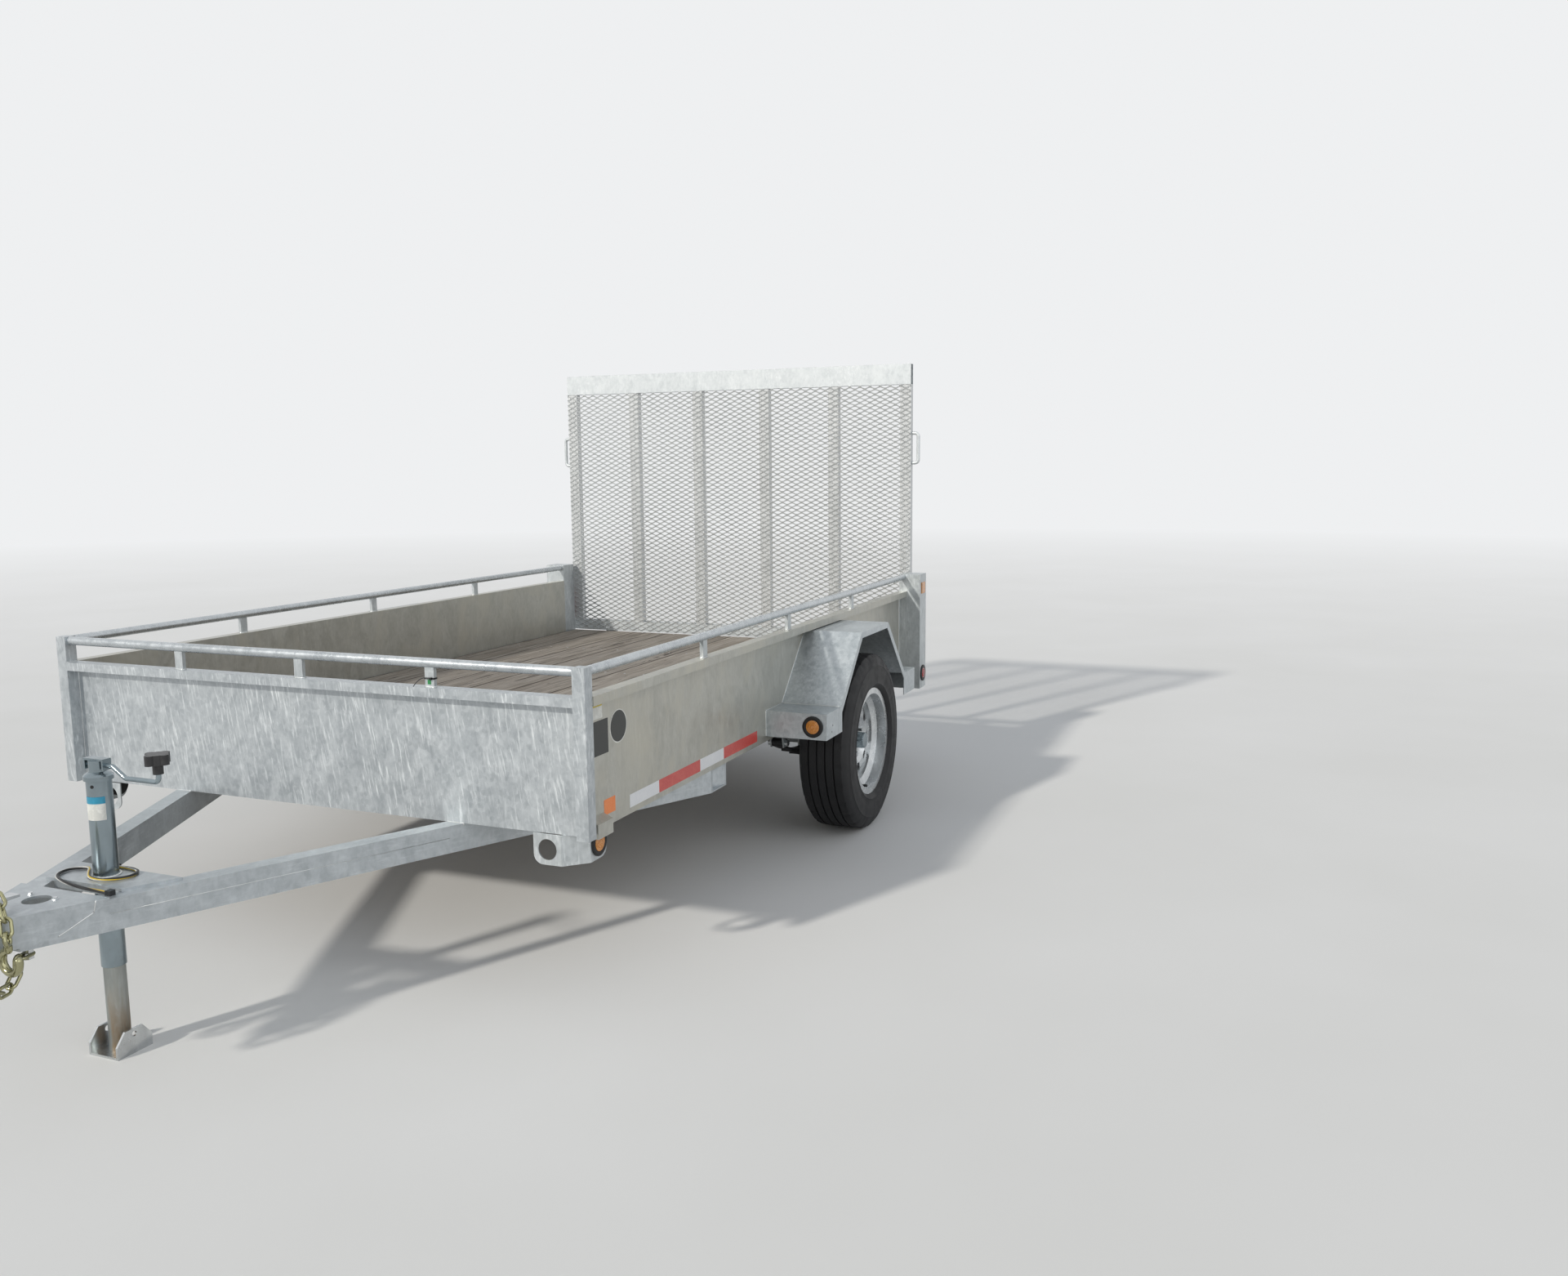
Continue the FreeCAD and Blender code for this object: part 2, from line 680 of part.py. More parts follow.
def make_floor():
    count = size("plank_count")
    gap = size("plank_gap")
    pitch = (size("bed_width") - gap) / count
    planks = new_body("deck_planks")
    length = panel_back - bed_back - size("plank_setback")
    first = pad(planks, "YZ_Plane",
                rectangle(gap - bed_half, pitch - bed_half, floor_underside, size("floor_top")),
                length)
    repeat_along(planks, [first], "Y_Axis", pitch * (count - 1), count)
    node("deck_planks", place(planks, x=bed_back + size("plank_setback")))
    flange = size("member_flange")
    gauge = size("member_gauge")
    low = size("frame_underside")
    side = slab("side_member", "YZ_Plane",
                [(bed_half - flange, low), (bed_half, low), (bed_half, low + gauge),
                 (bed_half - flange + gauge, low + gauge),
                 (bed_half - flange + gauge, floor_underside - gauge),
                 (bed_half, floor_underside - gauge), (bed_half, floor_underside),
                 (bed_half - flange, floor_underside)],
                bed_back, panel_back - bed_back)
    both_sides("side_members", side)
    cross = new_body("cross_members")
    reach = bed_half - flange
    back = bed_back
    channel = [(back, low), (back + flange, low), (back + flange, low + gauge),
               (back + gauge, low + gauge), (back + gauge, floor_underside - gauge),
               (back + flange, floor_underside - gauge), (back + flange, floor_underside),
               (back, floor_underside)]
    first = pad(cross, "XZ_Plane", channel, reach * 2)
    span = panel_back - bed_back - flange
    repeat_along(cross, [first], "X_Axis", span, size("member_count"))
    node("cross_members", place(cross, y=reach))


# Tongue

leg_slope = tangent(size("leg_angle"))
leg_across = size("leg_width") / cosine(size("leg_angle"))
leg_underside = size("frame_underside") - size("leg_height")


def leg_line(ahead, inset=0):
    """Distance from the centre line of a leg's outer face, moved in by inset."""
    return size("leg_spread") - inset / cosine(size("leg_angle")) - ahead * leg_slope


def leg_start(inset=0):
    """Where a leg's outer face, moved in by inset, meets the bed's side."""
    return bed_front + (size("leg_spread") - inset / cosine(size("leg_angle"))
                        - bed_half) / leg_slope


def make_tongue():
    wall = size("leg_gauge")
    reach = size("leg_reach")
    front = bed_front + reach
    outside = [(leg_start(), bed_half), (leg_start(size("leg_width")), bed_half),
               (front, leg_line(reach, size("leg_width"))), (front, leg_line(reach))]
    thin = size("leg_width") - wall
    inside = [(leg_start(wall), bed_half), (leg_start(thin), bed_half),
              (front, leg_line(reach, thin)), (front, leg_line(reach, wall))]
    leg = new_body("tongue_leg")
    pad(leg, "XY_Plane", outside, size("leg_height"))
    pocket(leg, "XY_Plane", inside, size("leg_height") - wall * 2, offset=wall)
    place(leg, z=leg_underside)
    both_sides("tongue_legs", leg)


def make_jack_plate():
    top = size("frame_underside")
    gauge = size("jack_plate_gauge")
    back = bed_front + size("jack_plate_rear")
    front = back + size("jack_plate_length")
    half = size("jack_plate_half")
    front_half = size("jack_plate_front_half")
    plate = new_body("jack_plate")
    hole = size("jack_tube_diameter") / 2
    pad(plate, "XY_Plane",
        [(back, -half), (front, -front_half), (front, front_half), (back, half)],
        gauge, [(jack_x, 0, hole)])
    fold_half = leg_line(size("jack_plate_rear") + size("jack_plate_length"),
                         size("leg_width")) - gauge
    pad(plate, "XY_Plane", rectangle(front - gauge, front, -fold_half, fold_half),
        size("jack_plate_fold"), offset=-size("jack_plate_fold"))
    node("jack_plate", place(plate, z=top))


# Coupler

def coupler_plan(outset, rear, nose):
    """Plan of the coupler: it follows the legs forward and ends in a round nose."""
    side = outset / cosine(size("leg_angle"))
    narrow = (leg_line(0) + side - nose) / leg_slope
    return [(rear, leg_line(rear - bed_front) + side), (rear, -leg_line(rear - bed_front) - side),
            (bed_front + narrow, -nose), (ball_x, -nose, nose), (ball_x + nose, 0, nose),
            (ball_x, nose), (bed_front + narrow, nose)]


def make_coupler():
    gauge = size("coupler_gauge")
    top = size("frame_underside") + gauge
    low = top - size("coupler_flank") - gauge
    rear = bed_front + size("coupler_rear")
    nose = size("nose_radius")
    shell = new_body("coupler_shell")
    pad(shell, "XY_Plane", coupler_plan(gauge, rear, nose), top - low)
    pocket(shell, "XY_Plane", coupler_plan(as_size(0), rear, nose - gauge), top - low - gauge)
    rake = size("coupler_rake")
    pocket(shell, "XZ_Plane",
           [(rear, 0), (rear + rake, 0), (rear, top - low - gauge)],
           size("jack_plate_half") * 2, offset=-size("jack_plate_half"))
    pocket(shell, "XY_Plane", [], gauge,
           [(bed_front + size("spare_jack_ahead"), 0, size("spare_jack_hole") / 2)],
           top - low - gauge)
    place(shell, z=low)
    ball = size("ball_diameter") / 2 + size("ball_clearance")
    ball_height = top - size("ball_drop")
    dome = doc.addObject("Part::Sphere", "coupler_dome")
    bind(dome, "Radius", ball + gauge)
    dome.Angle1 = 0
    place(dome, ball_x, 0, ball_height)
    socket = doc.addObject("Part::Sphere", "coupler_socket")
    bind(socket, "Radius", ball)
    place(socket, ball_x, 0, ball_height)
    throat = doc.addObject("Part::Cylinder", "coupler_throat")
    bind(throat, "Radius", ball)
    bind(throat, "Height", ball_height - low)
    place(throat, ball_x, 0, low)
    room = fused("ball_room", [socket, throat])
    node("coupler", less("coupler", fused("coupler_outside", [shell, dome]), room))


def make_latch():
    """Lever over the nose, on a block that is bolted to the coupler's top."""
    top = size("frame_underside") + size("coupler_gauge")
    gauge = size("latch_gauge")
    block = size("latch_width")
    front = ball_x - size("ball_diameter") / 2 - size("coupler_gauge") * 2
    back = front - size("latch_length")
    corners = [(front - block, top), (front, top), (front, top + block),
               (front - gauge * 2, top + block + gauge), (back, top + block),
               (back, top + block - gauge), (front - block, top + block - gauge)]
    lever = slab("coupler_latch", "XZ_Plane", corners, -size("latch_width") / 2,
                 size("latch_width"))
    node("coupler_latch", lever)


# Safety chains

def chain_link(width, length, wire):
    """One closed link with straight sides, standing along Z in the XZ plane."""
    reach = width / 2 - wire / 2
    run = length / 2 - width / 2
    corners = [FreeCAD.Vector(-reach, 0, -run), FreeCAD.Vector(-reach, 0, run),
               FreeCAD.Vector(reach, 0, run), FreeCAD.Vector(reach, 0, -run)]
    top = FreeCAD.Vector(0, 0, run + reach)
    foot = FreeCAD.Vector(0, 0, -run - reach)
    wire_path = Part.Wire([
        Part.LineSegment(corners[0], corners[1]).toShape(),
        Part.Arc(corners[1], top, corners[2]).toShape(),
        Part.LineSegment(corners[2], corners[3]).toShape(),
        Part.Arc(corners[3], foot, corners[0]).toShape()])
    return swept(wire_path, wire / 2)


def placed_link(middle, ahead, across):
    """A link of the safety chains that points ahead, its width turned across."""
    link = chain_link(size("chain_link_width").number, size("chain_link_length").number,
                      size("chain_wire").number)
    link.Placement = FreeCAD.Placement(
        middle, FreeCAD.Rotation(across, ahead.cross(across), ahead, "ZXY"))
    return link


def linked_along(front, ahead, across, places):
    """Links that follow a smooth curve through the places, each seated on the bar before it.

    Front is the middle of the first link's front bar. A link's bar lies across both its own
    plane and the plane of the link before, so that neither rubs on the other's sides.
    """
    wire = size("chain_wire").number
    inner = size("chain_link_length").number / 2 - wire
    play = size("chain_slack").number
    curve = Part.BSplineCurve()
    curve.interpolate([front] + places)
    guide = curve.discretize(Number=600)
    passed = 0
    links = []
    while True:
        way = ahead
        for trial in range(4):
            turned = across.cross(way).normalize()
            pull = across.cross(turned).normalize()
            if pull.dot(ahead) < 0:
                pull = pull * -1
            rear = front - pull * (wire + play)
            reached = [number for number in range(passed, len(guide))
                       if (guide[number] - rear).Length >= inner * 2 + wire]
            if not reached:
                return links, front, across
            way = (guide[reached[0]] - rear).normalize()
        passed = reached[0]
        ahead = way
        across = across.cross(way).normalize()
        links.append(placed_link(rear + way * (inner + wire / 2), way, across))
        front = rear + way * (inner * 2 + wire)


def slip_hook(bar, bar_way, wire):
    """Forged hook that hangs by its eye from a chain's last bar, in the YZ plane."""
    thick = size("hook_bar").number / 2
    bowl = size("hook_bowl").number
    ring = size("hook_eye").number
    ring_bar = size("hook_eye_bar").number / 2
    eye_place = bar - FreeCAD.Vector(0, 0, ring - ring_bar - wire / 2 - 0.5)
    eye = Part.makeTorus(ring, ring_bar, eye_place, bar_way)
    outward = 1 if bar.y > 0 else -1
    centre = eye_place - FreeCAD.Vector(0, -thick / 2 * outward, ring + bowl + thick)

    def on_bowl(degrees):
        turned = math.radians(degrees)
        return centre + FreeCAD.Vector(0, -math.cos(turned) * outward, math.sin(turned)) * bowl

    shank_top = eye_place - FreeCAD.Vector(0, 0, ring)
    shank = Part.makeCylinder(thick, (shank_top - on_bowl(80)).Length, on_bowl(80),
                              shank_top - on_bowl(80))
    curve = Part.Wire([Part.Arc(on_bowl(80), on_bowl(-50), on_bowl(-190)).toShape()])
    hook = swept(curve, thick).fuse([shank, eye, Part.makeSphere(thick, on_bowl(80)),
                                     Part.makeSphere(thick, on_bowl(-190))])
    return hook.removeSplitter()


# Routes of the chains from their bolts, over the coupler and down its other side:
# ahead of the bed, out towards the chain's own side, height.
# The first link points at the place where the chain rises, which RISE counts from 0.
NEAR_CHAIN = [
    (933, 53, 317), (953, 58, 297), (980, 66, 289), (1007, 74, 297), (1026, 80, 317),
    (1034, 82, 345), (1035, 82, 385), (1034, 74, 427), (1032, 50, 462), (1031, 0, 473),
    (1031, -50, 461), (1030, -76, 424), (1030, -86, 390)]
FAR_CHAIN = [
    (930, 59, 323), (943, 67, 308), (962, 77, 302), (981, 87, 308), (995, 95, 323),
    (1000, 98, 345), (998, 98, 380), (985, 90, 425), (966, 68, 465), (955, 36, 492),
    (952, 0, 503), (956, -40, 491), (967, -72, 450), (976, -86, 410)]
RISE = 5


def make_chains():
    """A bolt under each leg holds the chain's first link, and its hook hangs beyond."""
    slack = 0.3
    reach = size("leg_reach") - size("chain_bolt_setback")
    x = bed_front + reach
    y = leg_line(reach, size("leg_width") / 2)
    nut = size("chain_nut_height")
    shank_length = size("chain_wire") + slack * 2 + nut
    shank = doc.addObject("Part::Cylinder", "chain_bolt_shank")
    bind(shank, "Radius", size("bolt_diameter") / 2)
    bind(shank, "Height", shank_length)
    place(shank, x, y, leg_underside - shank_length)
    head = doc.addObject("Part::Prism", "chain_bolt_head")
    head.Polygon = 6
    bind(head, "Circumradius", size("bolt_diameter"))
    bind(head, "Height", size("bolt_diameter") / 2)
    place(head, x, y, leg_underside - shank_length - size("bolt_diameter") / 2)
    washer = doc.addObject("Part::Prism", "chain_bolt_nut")
    washer.Polygon = 6
    bind(washer, "Circumradius", size("bolt_diameter"))
    bind(washer, "Height", nut)
    place(washer, x, y, leg_underside - nut)
    both_sides("chain_bolts", fused("chain_bolt", [head, shank, washer]))
    wire = size("chain_wire").number
    inner = size("chain_link_length").number / 2 - wire
    bolt_back = inner - size("bolt_diameter").number / 2 - slack
    height = (leg_underside - nut).number - wire / 2 - slack
    for side, route in ((1, NEAR_CHAIN), (-1, FAR_CHAIN)):
        bolt = FreeCAD.Vector(x.number, y.number * side, height)
        places = [FreeCAD.Vector(bed_front.number + reach_x, out * side, up)
                  for reach_x, out, up in route]
        ahead = FreeCAD.Vector(places[RISE].x - bolt.x, places[RISE].y - bolt.y, 0).normalize()
        across = FreeCAD.Vector(-ahead.y, ahead.x, 0)
        middle = bolt + ahead * bolt_back
        links, last, bar_way = linked_along(middle + ahead * (inner + wire / 2), ahead, across,
                                            places)
        links.append(placed_link(middle, ahead, across))
        links.append(slip_hook(last, bar_way, wire))
        chain = doc.addObject("Part::Feature",
                              "safety_chain_" + ("left" if side > 0 else "right"))
        chain.Shape = Part.makeCompound(links)
        chain.Placement = FreeCAD.Placement()
        node(chain.Name, chain)


# Jack

def make_jack():
    radius = size("jack_tube_diameter") / 2
    inside = radius - size("jack_tube_gauge")
    foot = size("jack_tube_foot")
    top = size("jack_tube_top")
    collar = size("jack_collar")
    tube = new_body("jack_tube")
    turn(tube, "XZ_Plane",
         [(inside, foot), (radius, foot), (radius, top - collar * 2),
          (radius + collar, top - collar * 2), (radius + collar, top), (inside, top)])
    node("jack_tube", place(tube, x=jack_x))
    half = size("jack_head_side") / 2
    head = new_body("jack_head")
    turn(head, "XZ_Plane",
         [(0, top), (radius + collar, top), (radius, top + collar), (half, top + collar * 2),
          (half, top + size("jack_head_height")), (0, top + size("jack_head_height"))])
    node("jack_head", place(head, x=jack_x))
    crank_height = top + size("jack_head_height") - size("crank_rod")
    strap = size("strap_gauge")
    arm = size("strap_reach")
    strap_low = crank_height - size("cross_pin")
    strap_top = top + size("jack_head_height")
    loop = slab("crank_strap", "YZ_Plane",
                [(-arm, strap_low), (strap - arm, strap_low), (strap - arm, strap_top),
                 (arm - strap, strap_top), (arm - strap, strap_low), (arm, strap_low),
                 (arm, strap_top + strap), (-arm, strap_top + strap)],
                jack_x - size("strap_width") / 2, size("strap_width"))
    dip = crank_height - size("crank_dip")
    knob_base = size("knob_base")
    reach = size("crank_reach")
    neck_base = knob_base - size("knob_neck")
    points = [(arm - strap / 2, crank_height), (size("crank_neck"), crank_height),
              (size("crank_elbow"), dip), (reach, dip), (reach, neck_base)]
    path = [FreeCAD.Vector(jack_x.number, y.number, z.number) for y, z in points]
    rod = doc.addObject("Part::Feature", "crank_rod")
    rod.Shape = swept(rod_wire(path, size("crank_rod").number), size("crank_rod").number / 2)
    rod.Placement = FreeCAD.Placement()
    pins = []
    for start in (half, -arm - strap):
        pin = new_body("cross_pin")
        pad(pin, "XZ_Plane", [], arm + strap - half,
            [(jack_x, crank_height, size("cross_pin") / 2)])
        pins.append(place(pin, y=start + arm + strap - half))
    node("jack_crank", fused("jack_crank", [rod, loop] + pins))
    knob = new_body("jack_knob")
    lobe = size("knob_diameter") / 6
    orbit = size("knob_diameter") / 2 - lobe
    pad(knob, "XY_Plane", [], size("knob_height"), [(0, 0, orbit + lobe / 4)])
    one = pad(knob, "XY_Plane", [], size("knob_height"), [(orbit, 0, lobe)])
    repeat_round(knob, [one], "Z_Axis", 4)
    pad(knob, "XY_Plane", [], size("knob_neck"), [(0, 0, size("knob_neck_radius"))],
        -size("knob_neck"))
    node("jack_knob", place(knob, jack_x, reach, knob_base))


def make_jack_leg():
    plate = size("foot_plate_gauge")
    radius = size("jack_tube_diameter") / 2 - size("jack_tube_gauge") - size("ram_clearance")
    inside = radius - size("ram_gauge")
    ram = new_body("jack_ram")
    turn(ram, "XZ_Plane",
         [(inside, plate), (radius, plate), (radius, plate + size("ram_length")),
          (inside, plate + size("ram_length"))])
    node("jack_ram", place(ram, x=jack_x))
    length = size("foot_length") / 2
    width = size("foot_width") / 2
    ear = size("foot_ear_height")
    foot = new_body("jack_foot")
    pad(foot, "XY_Plane", rectangle(-length, length, -width, width), plate)
    rounding = length / 2
    ear_outline = [(-length, plate), (length, plate), (length, ear / 2),
                   (rounding, ear), (-rounding, ear), (-length, ear / 2)]
    for start in (width, plate - width):
        pad(foot, "XZ_Plane", ear_outline, plate,
            [(0, ear - size("foot_hole"), size("foot_hole") / 2)], -start)
    node("jack_foot", place(foot, x=jack_x))


# Fenders

def fender_outline(inset):
    """Side view of a fender, moved in from its outside by inset."""
    foot = size("slope_foot") - inset
    shoulder = size("fender_top_half") - inset / 2
    top = size("fender_top") - inset
    step = size("step_top") - inset
    front = size("fender_front") - inset
    back = size("fender_back") - inset
    low = size("step_underside")
    return [(wheel_x - back, low), (wheel_x + front, low), (wheel_x + front, step),
            (wheel_x + foot, step), (wheel_x + shoulder, top), (wheel_x - shoulder, top),
            (wheel_x - foot, step), (wheel_x - back, step)]


def make_fenders():
    width = size("fender_width")
    gauge = size("fender_gauge")
    rim = size("fender_rim")
    foot = size("slope_foot") - rim / 2
    shoulder = size("fender_top_half") - rim / 2
    body = new_body("fender_left")
    pad(body, "XZ_Plane", fender_outline(as_size(0)), width)
    pocket(body, "XZ_Plane", fender_outline(gauge), width - gauge, offset=gauge)
    low = size("step_underside")
    opening = [(wheel_x - foot, low), (wheel_x + foot, low), (wheel_x + foot, size("step_top") - rim),
               (wheel_x + shoulder, size("fender_top") - rim),
               (wheel_x - shoulder, size("fender_top") - rim),
               (wheel_x - foot, size("step_top") - rim)]
    pocket(body, "XZ_Plane", opening, gauge)
    hole = size("lamp_grommet") / 2 - gauge
    pocket(body, "YZ_Plane", [], gauge * 2,
           [(-size("step_lamp_inset"), size("step_lamp_height"), hole)],
           wheel_x + size("fender_front") - gauge * 2)
    node("fender_left", place(body, y=wall_outside + width))
    node("fender_right", mirrored("fender_right", body))


# Wheels, drawn round the Y axis with the outer side at +Y

def make_wheel(side, sign):
    """Tyre, rim, hub and nuts of one wheel."""
    half = size("rim_half_width")
    flange = size("rim_flange_radius")
    bead = size("bead_radius")
    well = size("well_radius")
    gauge = size("rim_gauge")
    outer = size("tyre_radius")
    tread = size("tread_width") / 2
    bulge = size("tyre_width") / 2
    shoulder = outer - size("shoulder_drop")
    middle = (outer + bead) / 2
    wall = size("tyre_wall")
    seat = bead + size("bead_gap")
    tyre = new_body("tyre_" + side)
    turn(tyre, "XY_Plane",
         [(seat, gauge - half), (flange, gauge - half), (middle, -bulge),
          (shoulder, gauge - bulge), (outer, -tread), (outer, tread),
          (shoulder, bulge - gauge), (middle, bulge), (flange, half - gauge),
          (seat, half - gauge), (seat, half - wall), (flange, half - wall),
          (middle, bulge - wall), (outer - wall * 2, tread), (outer - wall * 2, -tread),
          (middle, wall - bulge), (flange, wall - half), (seat, wall - half)])
    rim = new_body("rim_" + side)
    face = size("disc_offset")
    crown = face + size("disc_rise")
    hub_hole = size("hub_radius") + size("bead_gap")
    inner = size("bead_inner")
    flat = size("well_half")
    inside_bead = bead - gauge
    inside_well = well - gauge
    turn(rim, "XY_Plane",
         [(flange, -half), (flange, gauge - half), (bead, gauge - half), (bead, -inner),
          (well, -flat), (well, flat), (bead, inner), (bead, half - gauge),
          (flange, half - gauge), (flange, half), (inside_bead, half),
          (inside_bead, inner + gauge), (inside_well, flat + gauge), (inside_well, face + gauge),
          (window_shoulder(), crown), (size("window_inner"), crown),
          (size("hub_flange_radius"), face + gauge), (hub_hole, face + gauge),
          (hub_hole, face), (size("hub_flange_radius"), face),
          (size("window_inner"), crown - gauge), (window_shoulder(), crown - gauge),
          (inside_well, face), (inside_well, -flat - gauge), (inside_bead, -inner - gauge),
          (inside_bead, -half)])
    wide = size("window_outer") * tangent(size("window_half_angle"))
    narrow = size("window_inner") * tangent(size("window_half_angle") / 3)
    window = pocket(rim, "XZ_Plane",
                    [(size("window_inner"), -narrow), (size("window_outer"), -wide),
                     (size("window_outer"), wide), (size("window_inner"), narrow)],
                    half * 2, offset=-half)
    repeat_round(rim, [window], "Y_Axis", size("window_count"))
    bolt_hole = pocket(rim, "XZ_Plane", [], half * 2,
                       [(size("nut_circle"), 0, size("nut_across") / 2 - size("bead_gap") * 3)],
                       offset=-half)
    repeat_round(rim, [bolt_hole], "Y_Axis", size("nut_count"))
    hub = new_body("hub_" + side)
    spindle = size("spindle_diameter") / 2 + size("hinge_clearance")
    back = face - size("hub_flange_gauge")
    front = face + size("hub_length")
    barrel = size("hub_radius")
    lip = face + size("hub_face")
    cap = size("cap_radius")
    turn(hub, "XY_Plane",
         [(spindle, back - size("hub_tail")), (size("hub_tail_radius"), back - size("hub_tail")),
          (size("hub_tail_radius"), back),
          (size("hub_flange_radius"), back), (size("hub_flange_radius"), face),
          (barrel, face), (barrel, lip), (cap, lip), (cap, front - gauge), (cap - gauge, front),
          (0, front), (0, front - gauge), (spindle, front - gauge)])
    nuts = new_body("wheel_nuts_" + side)
    across = size("nut_across") / 2
    point = across / cosine(as_size(30))
    one = pad(nuts, "XZ_Plane",
              [(size("nut_circle") + point, 0), (size("nut_circle") + point / 2, across),
               (size("nut_circle") - point / 2, across), (size("nut_circle") - point, 0),
               (size("nut_circle") - point / 2, -across),
               (size("nut_circle") + point / 2, -across)],
              size("nut_length"), offset=-(face + gauge + size("nut_length")))
    repeat_round(nuts, [one], "Y_Axis", size("nut_count"))
    for body in (tyre, rim, hub, nuts):
        if sign < 0:
            body.Placement.Rotation = FreeCAD.Rotation(FreeCAD.Vector(0, 0, 1), 180)
        place(body, wheel_x, wheel_y * sign, size("tyre_radius"))
        node(body.Name, body)


def window_shoulder():
    """Radius where the disc's raised ring turns down to the barrel."""
    return (size("window_outer") + size("window_inner")) / 2


# Axle and springs

def make_axle():
    radius = size("axle_diameter") / 2
    hub_back = wheel_y + size("disc_offset") - size("hub_flange_gauge") - size("hub_tail")
    half = hub_back - size("hub_gap")
    axle = new_body("axle_beam")
    spindle_end = wheel_y + size("disc_offset") + size("hub_length") / 2
    spindle = size("spindle_diameter") / 2
    turn(axle, "XY_Plane",
         [(0, -spindle_end), (spindle, -spindle_end), (spindle, -half), (radius, -half),
          (radius, half), (spindle, half), (spindle, spindle_end), (0, spindle_end)])
    node("axle_beam", place(axle, x=wheel_x, z=size("tyre_radius")))


def arched_leaf(name, reach, top, gauge, rise):
    """Leaf whose ends stand above its middle by rise at that reach."""
    radius = (reach * reach + rise * rise) / (rise * 2)
    return slab(name, "XZ_Plane",
                [(wheel_x - reach, top + rise - gauge, radius + gauge),
                 (wheel_x + reach, top + rise - gauge), (wheel_x + reach, top + rise, -radius),
                 (wheel_x - reach, top + rise)],
                spring_y - size("spring_width") / 2, size("spring_width"))


def make_springs():
    gauge = size("leaf_gauge")
    top = size("tyre_radius") - size("axle_diameter") / 2
    reach = size("spring_span") / 2
    rise = size("eye_height") - size("eye_radius") + gauge - top
    leaves = []
    for number in range(int(size("leaf_count").number)):
        shorter = reach - size("leaf_step") * number
        share = shorter * shorter / (reach * reach)
        leaves.append(arched_leaf("leaf", shorter, top - gauge * number, gauge, rise * share))
    bolt = size("hanger_bolt") / 2
    for sign in (-1, 1):
        eye = slab("spring_eye", "XZ_Plane", [], spring_y - size("spring_width") / 2,
                   size("spring_width"),
                   [(wheel_x + reach * sign, size("eye_height"), size("eye_radius")),
                    (wheel_x + reach * sign, size("eye_height"), bolt)])
        leaves.append(eye)
    both_sides("leaf_springs", fused("leaf_spring", leaves))


def make_hangers():
    gauge = size("hanger_gauge")
    half = size("hanger_length") / 2
    top = size("frame_underside")
    low = size("eye_height") - size("eye_radius")
    bolt = size("hanger_bolt") / 2
    inner = spring_y - size("spring_width") / 2 - gauge
    outer = spring_y + size("spring_width") / 2 + gauge
    hangers = []
    bolts = []
    for sign in (-1, 1):
        x = wheel_x + size("spring_span") / 2 * sign
        hanger = new_body("hanger")
        pad(hanger, "XZ_Plane",
            [(x - half / 2, low), (x + half / 2, low), (x + half, top), (x - half, top)],
            outer - inner, [(x, size("eye_height"), bolt)])
        pocket(hanger, "YZ_Plane",
               rectangle(gauge - (outer - inner), -gauge, low - gauge, top - gauge),
               half * 2, offset=x - half)
        place(hanger, y=outer)
        hangers += [hanger, mirrored("hanger_twin", hanger)]
        pin = new_body("hanger_bolt")
        head = size("hanger_bolt_head")
        pad(pin, "XZ_Plane", [], outer - inner, [(x, size("eye_height"), bolt)])
        for offset in (-head, outer - inner):
            pad(pin, "XZ_Plane", [], head, [(x, size("eye_height"), head)], offset)
        place(pin, y=outer)
        bolts += [pin, mirrored("bolt_twin", pin)]
    node("spring_hangers", grouped("spring_hangers", hangers))
    node("spring_bolts", grouped("spring_bolts", bolts))


def make_axle_clamps():
    """U-bolts over the axle, with a plate under each spring."""
    rod = size("clamp_rod").number / 2
    axle = size("axle_diameter").number / 2
    height = size("tyre_radius").number
    stack = size("leaf_gauge").number * size("leaf_count").number
    low = height - axle - stack
    plate = size("clamp_plate_gauge").number
    middle = spring_y.number
    spread = size("spring_width").number / 2 + rod + 0.3
    x = wheel_x.number
    reach = axle + rod + 0.3
    pieces = []
    for side in (-1, 1):
        y = middle + spread * side
        feet = low - plate * 2
        legs = [FreeCAD.Vector(x - reach, y, feet), FreeCAD.Vector(x - reach, y, height),
                FreeCAD.Vector(x + reach, y, height), FreeCAD.Vector(x + reach, y, feet)]
        top = FreeCAD.Vector(x, y, height + reach)
        path = Part.Wire([Part.LineSegment(legs[0], legs[1]).toShape(),
                          Part.Arc(legs[1], top, legs[2]).toShape(),
                          Part.LineSegment(legs[2], legs[3]).toShape()])
        pieces.append(swept(path, rod))
    half_x = reach + rod * 3
    half_y = spread + rod * 3
    corner = FreeCAD.Vector(x - half_x, middle - half_y, low - plate)
    pieces.append(Part.makeBox(half_x * 2, half_y * 2, plate, corner))
    clamp = pieces[0].fuse(pieces[1:])
    twin = clamp.mirror(FreeCAD.Vector(), FreeCAD.Vector(0, 1, 0))
    feature = doc.addObject("Part::Feature", "axle_clamps")
    feature.Shape = Part.makeCompound([clamp, twin])
    feature.Placement = FreeCAD.Placement()
    node("axle_clamps", feature)


# Corner brackets and lamp guards

